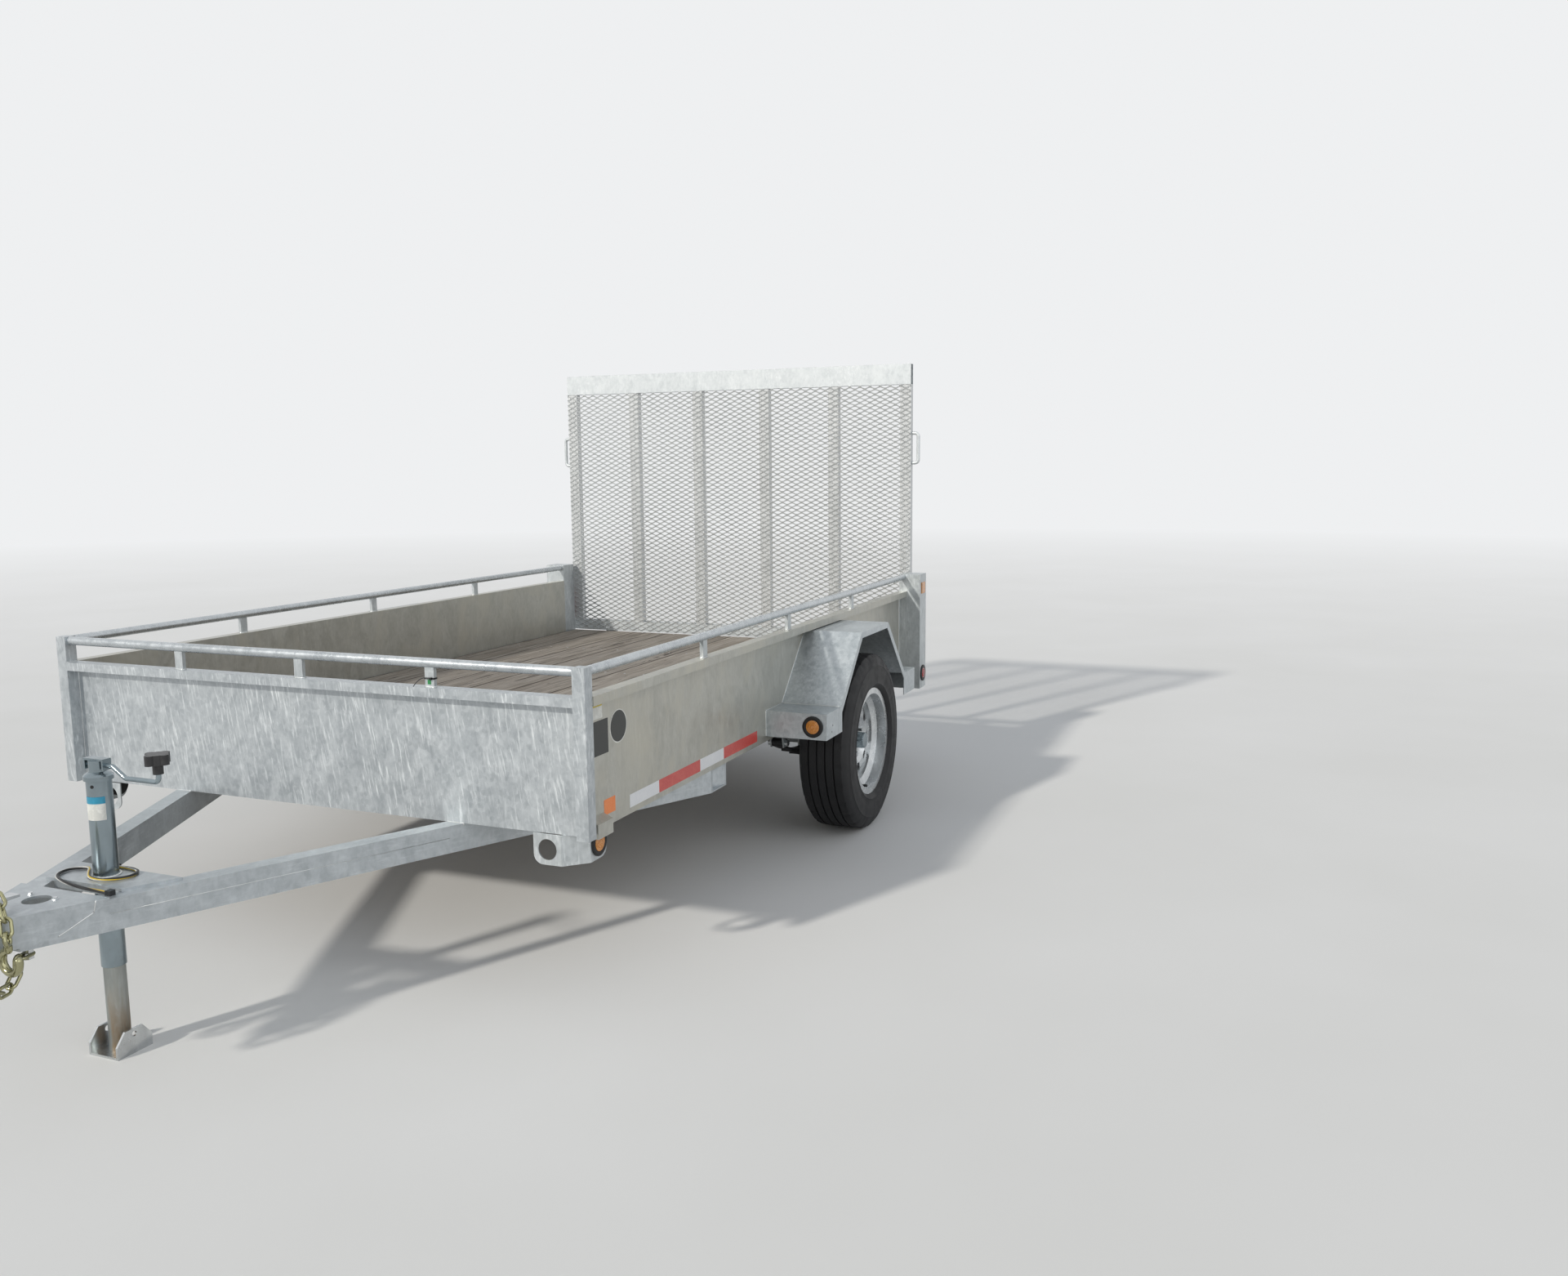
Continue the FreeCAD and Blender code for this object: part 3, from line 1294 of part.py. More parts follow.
def make_corner_brackets():
    gauge = size("bracket_gauge")
    drop = size("bracket_drop")
    front = bed_front - size("bracket_setback")
    inner = bracket_inner
    corner = bracket_corner
    outer = bracket_outer
    side_start = front - size("bracket_chamfer")
    back = side_start - size("bracket_side")
    thin = gauge * tangent(as_size(22.5))
    body = new_body("corner_bracket")
    pad(body, "XY_Plane",
        [(front, inner), (front, corner), (side_start, outer), (back, outer),
         (back, outer - gauge), (side_start - thin, outer - gauge),
         (front - gauge, corner - thin), (front - gauge, inner)],
        drop)
    hole_out = (inner + corner) / 2
    pocket(body, "YZ_Plane", [], gauge * 2,
           [(hole_out, drop / 2, size("bracket_hole") / 2)], front - gauge * 2)
    lamp_x = (side_start + back) / 2
    pocket(body, "XZ_Plane", [], gauge * 2,
           [(lamp_x, size("bracket_lamp_height") - size("frame_underside") + drop,
             size("lamp_grommet") / 2 - gauge)], -outer)
    round_off = size("bracket_rounding")
    pocket(body, "YZ_Plane",
           [(inner, 0), (inner + round_off, 0, -round_off), (inner, round_off)],
           gauge * 2, offset=front - gauge * 2)
    pocket(body, "XZ_Plane",
           [(back, 0), (back + round_off, 0, -round_off), (back, round_off)],
           gauge * 2, offset=-outer)
    place(body, z=size("frame_underside") - drop)
    both_sides("corner_brackets", body)
    gauge = size("sheet_gauge")
    hood_front = bed_front - size("hood_setback")
    length = size("hood_length")
    height = size("hood_height")
    depth = size("hood_depth")
    slope = size("hood_slope")
    hood = new_body("lamp_hood")
    pad(hood, "YZ_Plane",
        [(wall_outside, 0), (wall_outside + depth, 0), (wall_outside + depth, height - slope),
         (wall_outside, height)], length)
    pocket(hood, "YZ_Plane",
           [(wall_outside, 0), (wall_outside + depth - gauge, 0),
            (wall_outside + depth - gauge, height - slope - gauge),
            (wall_outside, height - gauge)],
           length - gauge * 2, offset=gauge)
    place(hood, x=hood_front - length, z=size("frame_underside") - size("hood_dip"))
    both_sides("lamp_guards", hood)


# Lamps

def lamp_ring(name, role, across, up, face, outward):
    """Rubber ring seated in a round hole, with a lip over the plate and a plug behind it."""
    body = new_body(name)
    ring = size("lamp_grommet") / 2
    lens = size("lamp_lens") / 2
    stand = size("lamp_stand_out") / 2
    depth = size("lamp_depth")
    start = face if outward > 0 else face - stand
    pad(body, role, [], stand, [(across, up, ring), (across, up, lens)], start)
    behind = face - depth if outward > 0 else face
    pad(body, role, [], depth, [(across, up, size("lamp_plug") / 2)], behind)
    return body


def lamp_lens(name, role, across, up, face, outward):
    """Domed lens that stands out of the ring."""
    body = new_body(name)
    lens = size("lamp_lens") / 2
    stand = size("lamp_stand_out")
    start = face if outward > 0 else face - stand
    pad(body, role, [], stand, [(across, up, lens)], start)
    return body


def make_lamps():
    bracket_front = bed_front - size("bracket_setback")
    side_x = bracket_front - size("bracket_chamfer") - size("bracket_side") / 2
    post_x = (bed_back + rear_post_front) / 2
    step_face = wheel_x + size("fender_front")
    step_lamp_y = wall_outside + size("fender_width") - size("step_lamp_inset")
    places = [
        ("front", "XZ_Plane", side_x, size("bracket_lamp_height"), -bracket_outer, -1),
        ("step", "YZ_Plane", step_lamp_y, size("step_lamp_height"), step_face, 1),
        ("post", "XZ_Plane", post_x, size("post_lamp_height"), -rear_post_out, -1)]
    rings = []
    for name, role, across, up, face, outward in places:
        ring = lamp_ring(name + "_ring", role, across, up, face, outward)
        rings += [ring, mirrored(name + "_ring_twin", ring)]
    node("lamp_grommets", grouped("lamp_grommets", rings))
    amber = []
    for name, role, across, up, face, outward in places[:2]:
        lens = lamp_lens(name + "_lens", role, across, up, face, outward)
        amber += [lens, mirrored(name + "_lens_twin", lens)]
    node("amber_lamps", grouped("amber_lamps", amber))
    name, role, across, up, face, outward = places[2]
    both_sides("red_side_lamps", lamp_lens("post_lens", role, across, up, face, outward))
    middle = wall_outside + size("rear_post_side") / 2
    wide = size("tail_lamp_width") / 2
    run = size("tail_lamp_length") / 2 - wide
    height = size("tail_lamp_height")
    stand = size("lamp_stand_out")
    tail = slab("tail_lamp", "YZ_Plane",
                [(middle + wide, height - run), (middle + wide, height + run, wide),
                 (middle, height + run + wide, wide), (middle - wide, height + run),
                 (middle - wide, height - run, wide), (middle, height - run - wide, wide)],
                bed_back - stand, stand)
    both_sides("tail_lamps", tail)
    half = size("reflector_side") / 2
    reflector = slab("reflector", "XZ_Plane",
                     rectangle(post_x - half, post_x + half, size("reflector_height") - half,
                               size("reflector_height") + half),
                     rear_post_out, size("reflector_gauge"))
    both_sides("side_reflectors", reflector)


# Gate

def make_gate():
    low = size("floor_top")
    half = gate_half
    top = size("gate_top")
    gauge = size("gate_gauge")
    mesh = size("mesh_gauge")
    depth = size("gate_depth")
    band = size("gate_band")
    sill = size("gate_sill")
    frame_front = gate_front - mesh
    channel_top = [(gate_back, top - band), (gate_back + gauge, top - band),
                   (gate_back + gauge, top - gauge), (frame_front, top - gauge),
                   (frame_front, top - band), (gate_front, top - band),
                   (gate_front, top), (gate_back, top)]
    node("gate_top_channel", slab("gate_top_channel", "XZ_Plane", channel_top, -half, half * 2))
    channel_low = [(gate_back, low), (frame_front, low), (frame_front, low + sill),
                   (frame_front - gauge, low + sill), (frame_front - gauge, low + gauge),
                   (gate_back + gauge, low + gauge), (gate_back + gauge, low + sill),
                   (gate_back, low + sill)]
    node("gate_sill", slab("gate_sill", "XZ_Plane", channel_low, -half, half * 2))
    uprights = []
    wide = size("gate_upright")
    count = int(size("upright_count").number)
    pitch = (half * 2 - wide) / (size("upright_count") - 1)
    for number in range(count):
        uprights.append(gate_upright("upright", pitch * number - half))
    node("gate_uprights", grouped("gate_uprights", uprights))
    make_mesh(low, top - band, half, frame_front, mesh)
    make_handles(half, frame_front - depth / 2)
    make_hinges(low)


def gate_upright(name, side):
    """Channel between the sill and the top channel, open to the rear."""
    gauge = size("gate_gauge")
    wide = size("gate_upright")
    front = gate_front - size("mesh_gauge")
    low = size("floor_top") + size("gate_sill")
    high = size("gate_top") - size("gate_band")
    body = new_body(name)
    back = gate_back
    pad(body, "XY_Plane",
        [(back, side), (front, side), (front, side + wide), (back, side + wide),
         (back, side + wide - gauge), (front - gauge, side + wide - gauge),
         (front - gauge, side + gauge), (back, side + gauge)],
        high - low)
    return place(body, z=low)


def make_mesh(low, high, half, back, gauge):
    """Expanded mesh: rows of diamond openings, every second row moved half a step."""
    margin = size("mesh_margin").number
    columns = int(size("mesh_columns").number)
    rows = int(size("mesh_rows").number) * 2
    left = -half.number
    foot = low.number
    wide = half.number * 2
    tall = (high - low).number
    pitch_y = (wide - margin) / (columns + 0.5)
    pitch_z = (tall - margin) / (rows + 1)
    reach_y = (pitch_y - size("mesh_bond").number) / 2
    reach_z = pitch_z - size("mesh_strand").number / 2
    outline = [(left, foot), (left + wide, foot), (left + wide, foot + tall), (left, foot + tall)]
    wires = [closed_wire(outline)]
    for row in range(rows):
        z = foot + margin / 2 + pitch_z * (row + 1)
        for column in range(columns):
            y = left + margin / 2 + pitch_y * (column + 0.5 + 0.5 * (row % 2))
            wires.append(closed_wire([(y - reach_y, z), (y, z - reach_z), (y + reach_y, z),
                                      (y, z + reach_z)]))
    panel = Part.Face(wires, "Part::FaceMakerBullseye").extrude(FreeCAD.Vector(gauge.number, 0, 0))
    mesh = doc.addObject("Part::Feature", "gate_mesh")
    mesh.Shape = panel
    node("gate_mesh", place(mesh, x=back))


def closed_wire(corners):
    """Closed outline in the YZ plane."""
    points = [FreeCAD.Vector(0, y, z) for y, z in corners]
    return Part.makePolygon(points + [points[0]])


def make_handles(half, x):
    rod = size("handle_rod").number
    reach = size("handle_reach").number - rod / 2
    run = size("handle_length").number / 2 - rod / 2
    height = size("handle_height").number
    side = half.number
    points = [(side, height + run), (side + reach, height + run), (side + reach, height - run),
              (side, height - run)]
    path = [FreeCAD.Vector(x.number, y, z) for y, z in points]
    bar = swept(rod_wire(path, rod), rod / 2)
    handles = doc.addObject("Part::Feature", "gate_handles")
    handles.Shape = Part.makeCompound(
        [bar, bar.mirror(FreeCAD.Vector(), FreeCAD.Vector(0, 1, 0))])
    handles.Placement = FreeCAD.Placement()
    node("gate_handles", handles)


def make_hinges(low):
    """Knuckles under the gate on pins that the bed's rear member carries."""
    axis_x = gate_front - size("hinge_setback")
    axis_z = low - size("hinge_drop")
    pin = size("hinge_pin") / 2
    half = size("knuckle_length") / 2
    spread = gate_half - size("hinge_inset")
    knuckle = new_body("knuckle")
    wall_middle = (pin + size("knuckle_radius")) / 2
    pad(knuckle, "XZ_Plane", [], half * 2,
        [(axis_x, axis_z, size("knuckle_radius")),
         (axis_x, axis_z, pin + size("hinge_clearance"))])
    wing = new_body("knuckle_wing")
    pad(wing, "XZ_Plane",
        rectangle(axis_x - pin, axis_x + pin, axis_z + wall_middle, low), half * 2)
    for part in (knuckle, wing):
        place(part, y=spread + half)
    whole = fused("knuckle_whole", [knuckle, wing])
    knuckles = [whole, mirrored("knuckle_twin", whole)]
    node("gate_knuckles", grouped("gate_knuckles", knuckles))
    gap = size("lug_gap")
    lug = size("lug_gauge")
    reach = size("knuckle_radius")
    bracket = new_body("hinge_bracket")
    total = half * 2 + gap * 2 + lug * 2
    pad(bracket, "XZ_Plane", [], total, [(axis_x, axis_z, pin)])
    for offset in (0, total - lug):
        pad(bracket, "XZ_Plane",
            [(axis_x, axis_z - reach), (bed_back, axis_z - reach), (bed_back, axis_z + reach),
             (axis_x, axis_z + reach, reach), (axis_x - reach, axis_z, reach)],
            lug, offset=offset)
    place(bracket, y=spread + total / 2)
    both_sides("hinge_brackets", bracket)


# Lighting lead, which lies on the tongue beside the jack

def make_lead():
    radius = size("lead_diameter").number / 2
    front = bed_front.number
    top = size("frame_underside").number
    plate_top = top + size("jack_plate_gauge").number
    rest = plate_top + radius + 0.3
    over_leg = top + radius + 0.5
    bend_share = 0.45
    route = [
        (742, 108, over_leg), (742, 40, over_leg), (738, -36, rest - 2), (716, -100, rest + 0.3),
        (664, -118, rest), (636, -76, rest), (668, -44, rest), (698, -4, rest),
        (694, 46, rest), (656, 80, rest), (616, 66, rest), (606, 26, rest), (609, -14, rest)]
    points = [FreeCAD.Vector(front + x, y, z) for x, y, z in route]
    edges = []
    start = points[0]
    radii = []
    for before, corner, after in zip(points, points[1:], points[2:]):
        back = before - corner
        ahead = after - corner
        shorter = min(back.Length, ahead.Length)
        half_turn = (math.pi - back.getAngle(ahead)) / 2
        bend = bend_share * shorter / math.tan(half_turn)
        radii.append(bend)
        back.normalize()
        ahead.normalize()
        setback = bend * math.tan(half_turn)
        arc_start = corner + back * setback
        arc_stop = corner + ahead * setback
        inward = (back + ahead).normalize()
        middle = corner + inward * (bend / math.cos(half_turn) - bend)
        edges.append(Part.LineSegment(start, arc_start).toShape())
        edges.append(Part.Arc(arc_start, middle, arc_stop).toShape())
        start = arc_stop
    edges.append(Part.LineSegment(start, points[-1]).toShape())
    wire = Part.Wire(edges)
    tube = swept(wire, radius)
    print("lead bend radii", [round(value, 1) for value in radii])
    print("lead length %.0f volume ratio %.4f"
          % (wire.Length, tube.Volume / (math.pi * radius ** 2 * wire.Length)))
    lead = doc.addObject("Part::Feature", "wiring_lead")
    lead.Shape = tube
    lead.Placement = FreeCAD.Placement()
    node("wiring_lead", lead)
    heading = (points[-1] - points[-2]).normalize()
    length = size("plug_length").number
    width = size("plug_width").number
    height = size("plug_height").number
    box = Part.makeBox(length, width, height, FreeCAD.Vector(0, -width / 2, -height / 2))
    box = box.makeChamfer(height / 5, [edge for edge in box.Edges
                                       if abs(edge.tangentAt(0).x) > 0.9])
    plug = doc.addObject("Part::Feature", "wiring_plug")
    plug.Shape = box
    lift = FreeCAD.Vector(0, 0, height / 2 - radius)
    turn_to = FreeCAD.Rotation(FreeCAD.Vector(1, 0, 0), FreeCAD.Vector(heading.x, heading.y, 0))
    plug.Placement = FreeCAD.Placement(points[-1] + lift, turn_to)
    node("wiring_plug", plug)
    clip_y = route[0][1]
    clip = Part.makeBox(radius * 4, radius * 4, radius * 3,
                        FreeCAD.Vector(front + route[0][0] - radius * 2, clip_y, top))
    holder = doc.addObject("Part::Feature", "wiring_clip")
    holder.Shape = clip
    holder.Placement = FreeCAD.Placement()
    node("wiring_clip", holder)


def check_and_write():
    doc.recompute()
    for item in doc.Objects:
        if "Invalid" in item.State or "Error" in item.State:
            raise RuntimeError("%s failed: %s" % (item.Name, item.State))
    for label, item in nodes.items():
        shape = item.Shape
        if shape.isNull() or not shape.isValid() or not shape.Solids:
            raise RuntimeError(label + " has no valid solid")
    os.makedirs("parts", exist_ok=True)
    for label, item in nodes.items():
        item.Shape.exportStep("parts/%s.step" % label)
    print(len(nodes), "nodes written")


make_walls()
make_posts()
make_rails()
make_floor()
make_tongue()
make_jack_plate()
make_coupler()
make_latch()
make_chains()
make_jack()
make_jack_leg()
make_fenders()
make_wheel("left", 1)
make_wheel("right", -1)
make_axle()
make_springs()
make_hangers()
make_axle_clamps()
make_corner_brackets()
make_lamps()
make_gate()
make_lead()
check_and_write()
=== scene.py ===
import math

import bpy
from mathutils import Matrix, Vector


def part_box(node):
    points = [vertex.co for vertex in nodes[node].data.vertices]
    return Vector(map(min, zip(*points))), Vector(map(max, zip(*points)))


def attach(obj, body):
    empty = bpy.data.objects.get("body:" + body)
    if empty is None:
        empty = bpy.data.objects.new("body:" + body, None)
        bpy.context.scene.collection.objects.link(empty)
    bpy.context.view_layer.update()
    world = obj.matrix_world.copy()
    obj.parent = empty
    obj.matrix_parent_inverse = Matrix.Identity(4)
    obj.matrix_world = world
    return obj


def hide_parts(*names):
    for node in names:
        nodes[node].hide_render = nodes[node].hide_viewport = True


# Looks of a galvanised utility trailer, in metres, in the frame of the CAD model:
# +X forward to the coupler, +Y to the trailer's left, +Z up from the ground.

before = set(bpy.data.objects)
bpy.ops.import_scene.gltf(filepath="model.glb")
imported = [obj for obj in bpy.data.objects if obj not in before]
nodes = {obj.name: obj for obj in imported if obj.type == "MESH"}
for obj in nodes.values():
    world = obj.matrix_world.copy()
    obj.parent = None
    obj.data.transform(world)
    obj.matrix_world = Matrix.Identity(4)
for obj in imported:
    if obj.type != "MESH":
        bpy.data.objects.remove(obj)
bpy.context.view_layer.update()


def middle(name, letter):
    """Middle of a CAD node's box along one axis."""
    low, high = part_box(name)
    return (getattr(low, letter) + getattr(high, letter)) / 2


# Places taken from the frame
SIDE_SHEET = 0.003
bed_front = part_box("front_posts")[1].x
frame_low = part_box("front_panel")[0].z
lip_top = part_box("front_panel")[1].z
deck_low, deck_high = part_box("deck_planks")
rail_low, rail_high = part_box("front_rail")
fender_low, fender_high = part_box("fender_left")
side_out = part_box("side_members")[1].y + SIDE_SHEET
wheel_x = middle("rim_left", "x")
wheel_y = middle("rim_left", "y")
wheel_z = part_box("tyre_left")[1].z / 2
jack_x = middle("jack_tube", "x")


def link_object(name, data):
    piece = bpy.data.objects.new(name, data)
    bpy.context.scene.collection.objects.link(piece)
    return piece


# Camera, as fitted to the photograph

PHOTO_WIDTH = 1920
FOCAL_PIXELS = 1533.3
SENSOR = 36.0
VIEW_DEPTH = 200
CAMERA_PLACE = Vector((3.7387, 2.6188, 1.4123))
CAMERA_YAW = math.radians(22.034)
CAMERA_PITCH = math.radians(7.855)
CAMERA_ROLL = math.radians(-0.484)


def make_camera():
    data = bpy.data.cameras.new("photo_camera")
    data.sensor_width = SENSOR
    data.lens = FOCAL_PIXELS / PHOTO_WIDTH * SENSOR
    data.clip_end = VIEW_DEPTH
    camera = link_object("photo_camera", data)
    yaw = Matrix.Rotation(math.pi / 2 + CAMERA_YAW, 4, "Z")
    pitch = Matrix.Rotation(math.pi / 2 - CAMERA_PITCH, 4, "X")
    roll = Matrix.Rotation(CAMERA_ROLL, 4, "Z")
    camera.matrix_world = Matrix.Translation(CAMERA_PLACE) @ yaw @ pitch @ roll
    bpy.context.scene.camera = camera


# Node trees

class Shading:
    """A node tree, with short ways to add nodes and link them."""

    def __init__(self, tree):
        self.tree = tree

    def add(self, kind, **inputs):
        """A node with its inputs filled; an underscore in a name stands for a space."""
        node = self.tree.nodes.new("ShaderNode" + kind)
        self.fill(node, inputs)
        return node

    def fill(self, node, inputs):
        for name, value in inputs.items():
            self.feed(node.inputs[name.replace("_", " ")], value)

    def feed(self, socket, value):
        """Link another node's output to the socket, or write a plain value on it."""
        if isinstance(value, bpy.types.NodeSocket):
            self.tree.links.new(value, socket)
        else:
            socket.default_value = value

    def ramp(self, value, stops):
        """Colour by value, from stops that are pairs of place and colour."""
        node = self.add("ValToRGB", Fac=value)
        elements = node.color_ramp.elements
        while len(elements) < len(stops):
            elements.new(0.5)
        for element, (place, colour) in zip(elements, stops):
            element.position = place
            element.color = (*colour, 1)
        return node.outputs[0]

    def grey(self, value, low, high):
        """Value pulled apart, so that low becomes 0 and high becomes 1."""
        return self.add("MapRange", Value=value, From_Min=low, From_Max=high).outputs[0]

    def math(self, operation, first, second=0.0, third=0.0):
        node = self.add("Math")
        node.operation = operation
        for socket, value in zip(node.inputs, (first, second, third)):
            self.feed(socket, value)
        return node.outputs[0]

    def vectors(self, operation, first, second=(0, 0, 0)):
        """A vector, or a number where the operation measures one."""
        node = self.add("VectorMath")
        node.operation = operation
        self.feed(node.inputs[0], first)
        self.feed(node.inputs[1], second)
        return node.outputs["Value" if operation in ("LENGTH", "DISTANCE") else "Vector"]

    def background_rays(self):
        """One where the camera, metal or glass looks at the surroundings, zero elsewhere."""
        path = self.add("LightPath").outputs
        share = path["Is Camera Ray"]
        for name in ("Is Glossy Ray", "Is Transmission Ray"):
            share = self.math("MAXIMUM", share, path[name])
        return share

    def mix_shaders(self, share, first, second):
        node = self.add("MixShader", Fac=share)
        self.feed(node.inputs[1], first)
        self.feed(node.inputs[2], second)
        return node.outputs[0]


class Paint(Shading):
    """A Principled material whose patterns read the object's own coordinates, in metres."""

    def __init__(self, name, rough=0.5, metal=0.0, **more):
        self.material = bpy.data.materials.new(name)
        self.material.use_nodes = True
        super().__init__(self.material.node_tree)
        self.shader = self.tree.nodes["Principled BSDF"]
        self.place = self.add("TexCoord").outputs["Object"]
        self.fill(self.shader, {"Roughness": rough, "Metallic": metal, **more})

    def stretched(self, stretch=(1, 1, 1), place=None, lean=0.0):
        place = self.place if place is None else place
        return self.add("Mapping", Vector=place, Scale=stretch, Rotation=(lean, 0, 0)).outputs[0]

    def noise(self, scale, detail=4, stretch=(1, 1, 1), warp=0.0, rough=0.55, place=None):
        """Cloudy grey; scale counts its swellings in a metre, warp bends them."""
        return self.add("TexNoise", Vector=self.stretched(stretch, place), Scale=scale,
                        Detail=detail, Roughness=rough, Distortion=warp).outputs["Fac"]

    def cells(self, scale):
        """A grey level that differs from cell to cell."""
        cell = self.add("TexVoronoi", Vector=self.stretched(), Scale=scale)
        return self.add("SeparateColor", Color=cell.outputs["Color"]).outputs[0]

    def mix(self, share, first, second, kind="MIX"):
        """First colour where the share is zero, second where it is one."""
        node = self.add("Mix")
        node.data_type = "RGBA"
        node.blend_type = kind
        self.feed(node.inputs["Factor"], share)
        colours = [socket for socket in node.inputs if socket.type == "RGBA"]
        for socket, value in zip(colours, (first, second)):
            self.feed(socket, (*value, 1) if isinstance(value, tuple) else value)
        return next(socket for socket in node.outputs if socket.type == "RGBA")

    def times(self, first, second):
        return self.math("MULTIPLY", first, second)

    def near(self, spot, radius):
        """One within that radius of a spot, on either side of the trailer."""
        mirrored = self.vectors("ABSOLUTE", self.place)
        return self.math("LESS_THAN", self.vectors("DISTANCE", mirrored, spot), radius)

    def axis(self, letter):
        return self.add("SeparateXYZ", Vector=self.place).outputs[letter]

    def colour(self, value):
        self.feed(self.shader.inputs["Base Color"], value)

    def roughness(self, value, low, high):
        node = self.add("MapRange", Value=value, To_Min=low, To_Max=high)
        self.feed(self.shader.inputs["Roughness"], node.outputs[0])

    def bump(self, height, distance, strength):
        node = self.add("Bump", Height=height, Distance=distance, Strength=strength)
        before = self.shader.inputs["Normal"].links
        if before:
            self.feed(node.inputs["Normal"], before[0].from_socket)
        self.feed(self.shader.inputs["Normal"], node.outputs[0])


# Light and floor

BACKDROP = (0.86, 0.87, 0.88, 1)
# Sky colours by height: 0 is straight down, 0.5 the horizon and 1 straight up
SKY = ((0.46, (0.62, 0.61, 0.59)), (0.54, (0.90, 0.91, 0.92)), (0.75, (0.62, 0.67, 0.74)))
SKY_STRENGTH = 0.62
# Each sun's name, strength, spread in degrees, direction it stands in, and colour
SUNS = (("key_sun", 2.2, 3.0, (1.0, -0.43, 0.62), (1.0, 0.965, 0.90)),
        ("fill_sun", 0.55, 60.0, (0.45, 1.0, 0.55), (0.96, 0.98, 1.0)))
FLOOR_HALF = 60
FLOOR_TONES = ((0.3, (0.745, 0.735, 0.71)), (0.7, (0.785, 0.775, 0.755)))
FADE_START = 4.5
FADE_END = 24


def make_sky():
    """Pale sky as light; the camera, metal and glass see the plain backdrop instead."""
    world = bpy.data.worlds.new("studio")
    world.use_nodes = True
    sky = Shading(world.node_tree)
    way = sky.add("TexCoord").outputs["Generated"]
    height = sky.grey(sky.add("SeparateXYZ", Vector=way).outputs["Z"], -1, 1)
    light = sky.tree.nodes["Background"]
    sky.fill(light, {"Color": sky.ramp(height, SKY), "Strength": SKY_STRENGTH})
    pale = sky.add("Background", Color=BACKDROP)
    seen = sky.mix_shaders(sky.background_rays(), light.outputs[0], pale.outputs[0])
    sky.feed(sky.tree.nodes["World Output"].inputs["Surface"], seen)
    bpy.context.scene.world = world


def make_suns():
    """A soft sun from ahead on the right-hand side and a broad fill."""
    for name, strength, spread, source, tint in SUNS:
        data = bpy.data.lights.new(name, "SUN")
        data.energy = strength
        data.angle = math.radians(spread)
        data.color = tint
        lamp = link_object(name, data)
        lamp.rotation_euler = Vector(source).to_track_quat("Z", "Y").to_euler()


def floor_paint():
    """Pale ground that turns into the backdrop's plain colour far away."""
    paint = Paint("floor_paint", rough=0.9)
    paint.colour(paint.ramp(paint.noise(0.7, detail=3), FLOOR_TONES))
    fade = paint.grey(paint.vectors("LENGTH", paint.place), FADE_START, FADE_END)
    share = paint.times(fade, paint.background_rays())
    glow = paint.add("Emission", Color=BACKDROP)
    blend = paint.mix_shaders(share, paint.shader.outputs[0], glow.outputs[0])
    paint.feed(paint.tree.nodes["Material Output"].inputs["Surface"], blend)
    return paint.material


def make_floor():
    """Plain floor that keeps the trailer's shadow."""
    half = FLOOR_HALF
    mesh = bpy.data.meshes.new("floor")
    mesh.from_pydata([(-half, -half, 0), (half, -half, 0), (half, half, 0), (-half, half, 0)],
                     [], [(0, 1, 2, 3)])
    mesh.materials.append(floor_paint())
    floor = link_object("floor", mesh)


# Materials

# Dark specks on the fenders' outer faces, as distances behind zero, out and up
FENDER_SPECKS = ((0.3515, 1.1475, 0.500), (0.3428, 1.1475, 0.478))
SPECK_RADIUS = 0.0035
SPECK_TONE = (0.045, 0.045, 0.04)

# Zinc ground: weights of cloud, blotch and grain, and its reach from dark towards light
GROUND_WEIGHTS = (0.25, 0.40, 0.20)
GROUND_REACH = 0.36


def zinc_ground(paint, dark, light, layers, weights):
    """Colour of the zinc's ground, from its grey layers by weight."""
    share = paint.times(layers[0], weights[0])
    for layer, weight in zip(layers[1:], weights[1:]):
        share = paint.math("MULTIPLY_ADD", layer, weight, share)
    share = paint.math("DIVIDE", share, sum(weights))
    bright = [low + (high - low) * GROUND_REACH for low, high in zip(dark, light)]
    return paint.ramp(share, [(0.22, dark), (0.78, bright)])


def zinc_marks(paint, run, lean, streaks):
    """Share of short pale marks that follow the way the zinc ran, in patches."""
    place = paint.stretched(lean=lean)
    mark = paint.grey(paint.noise(135, stretch=run, warp=0.35, rough=0.6, place=place), 0.53, 0.70)
    patch = paint.grey(paint.noise(9, detail=3, stretch=(1, 1, 0.7)), 0.30, 0.62)
    return paint.times(paint.times(mark, patch), streaks)


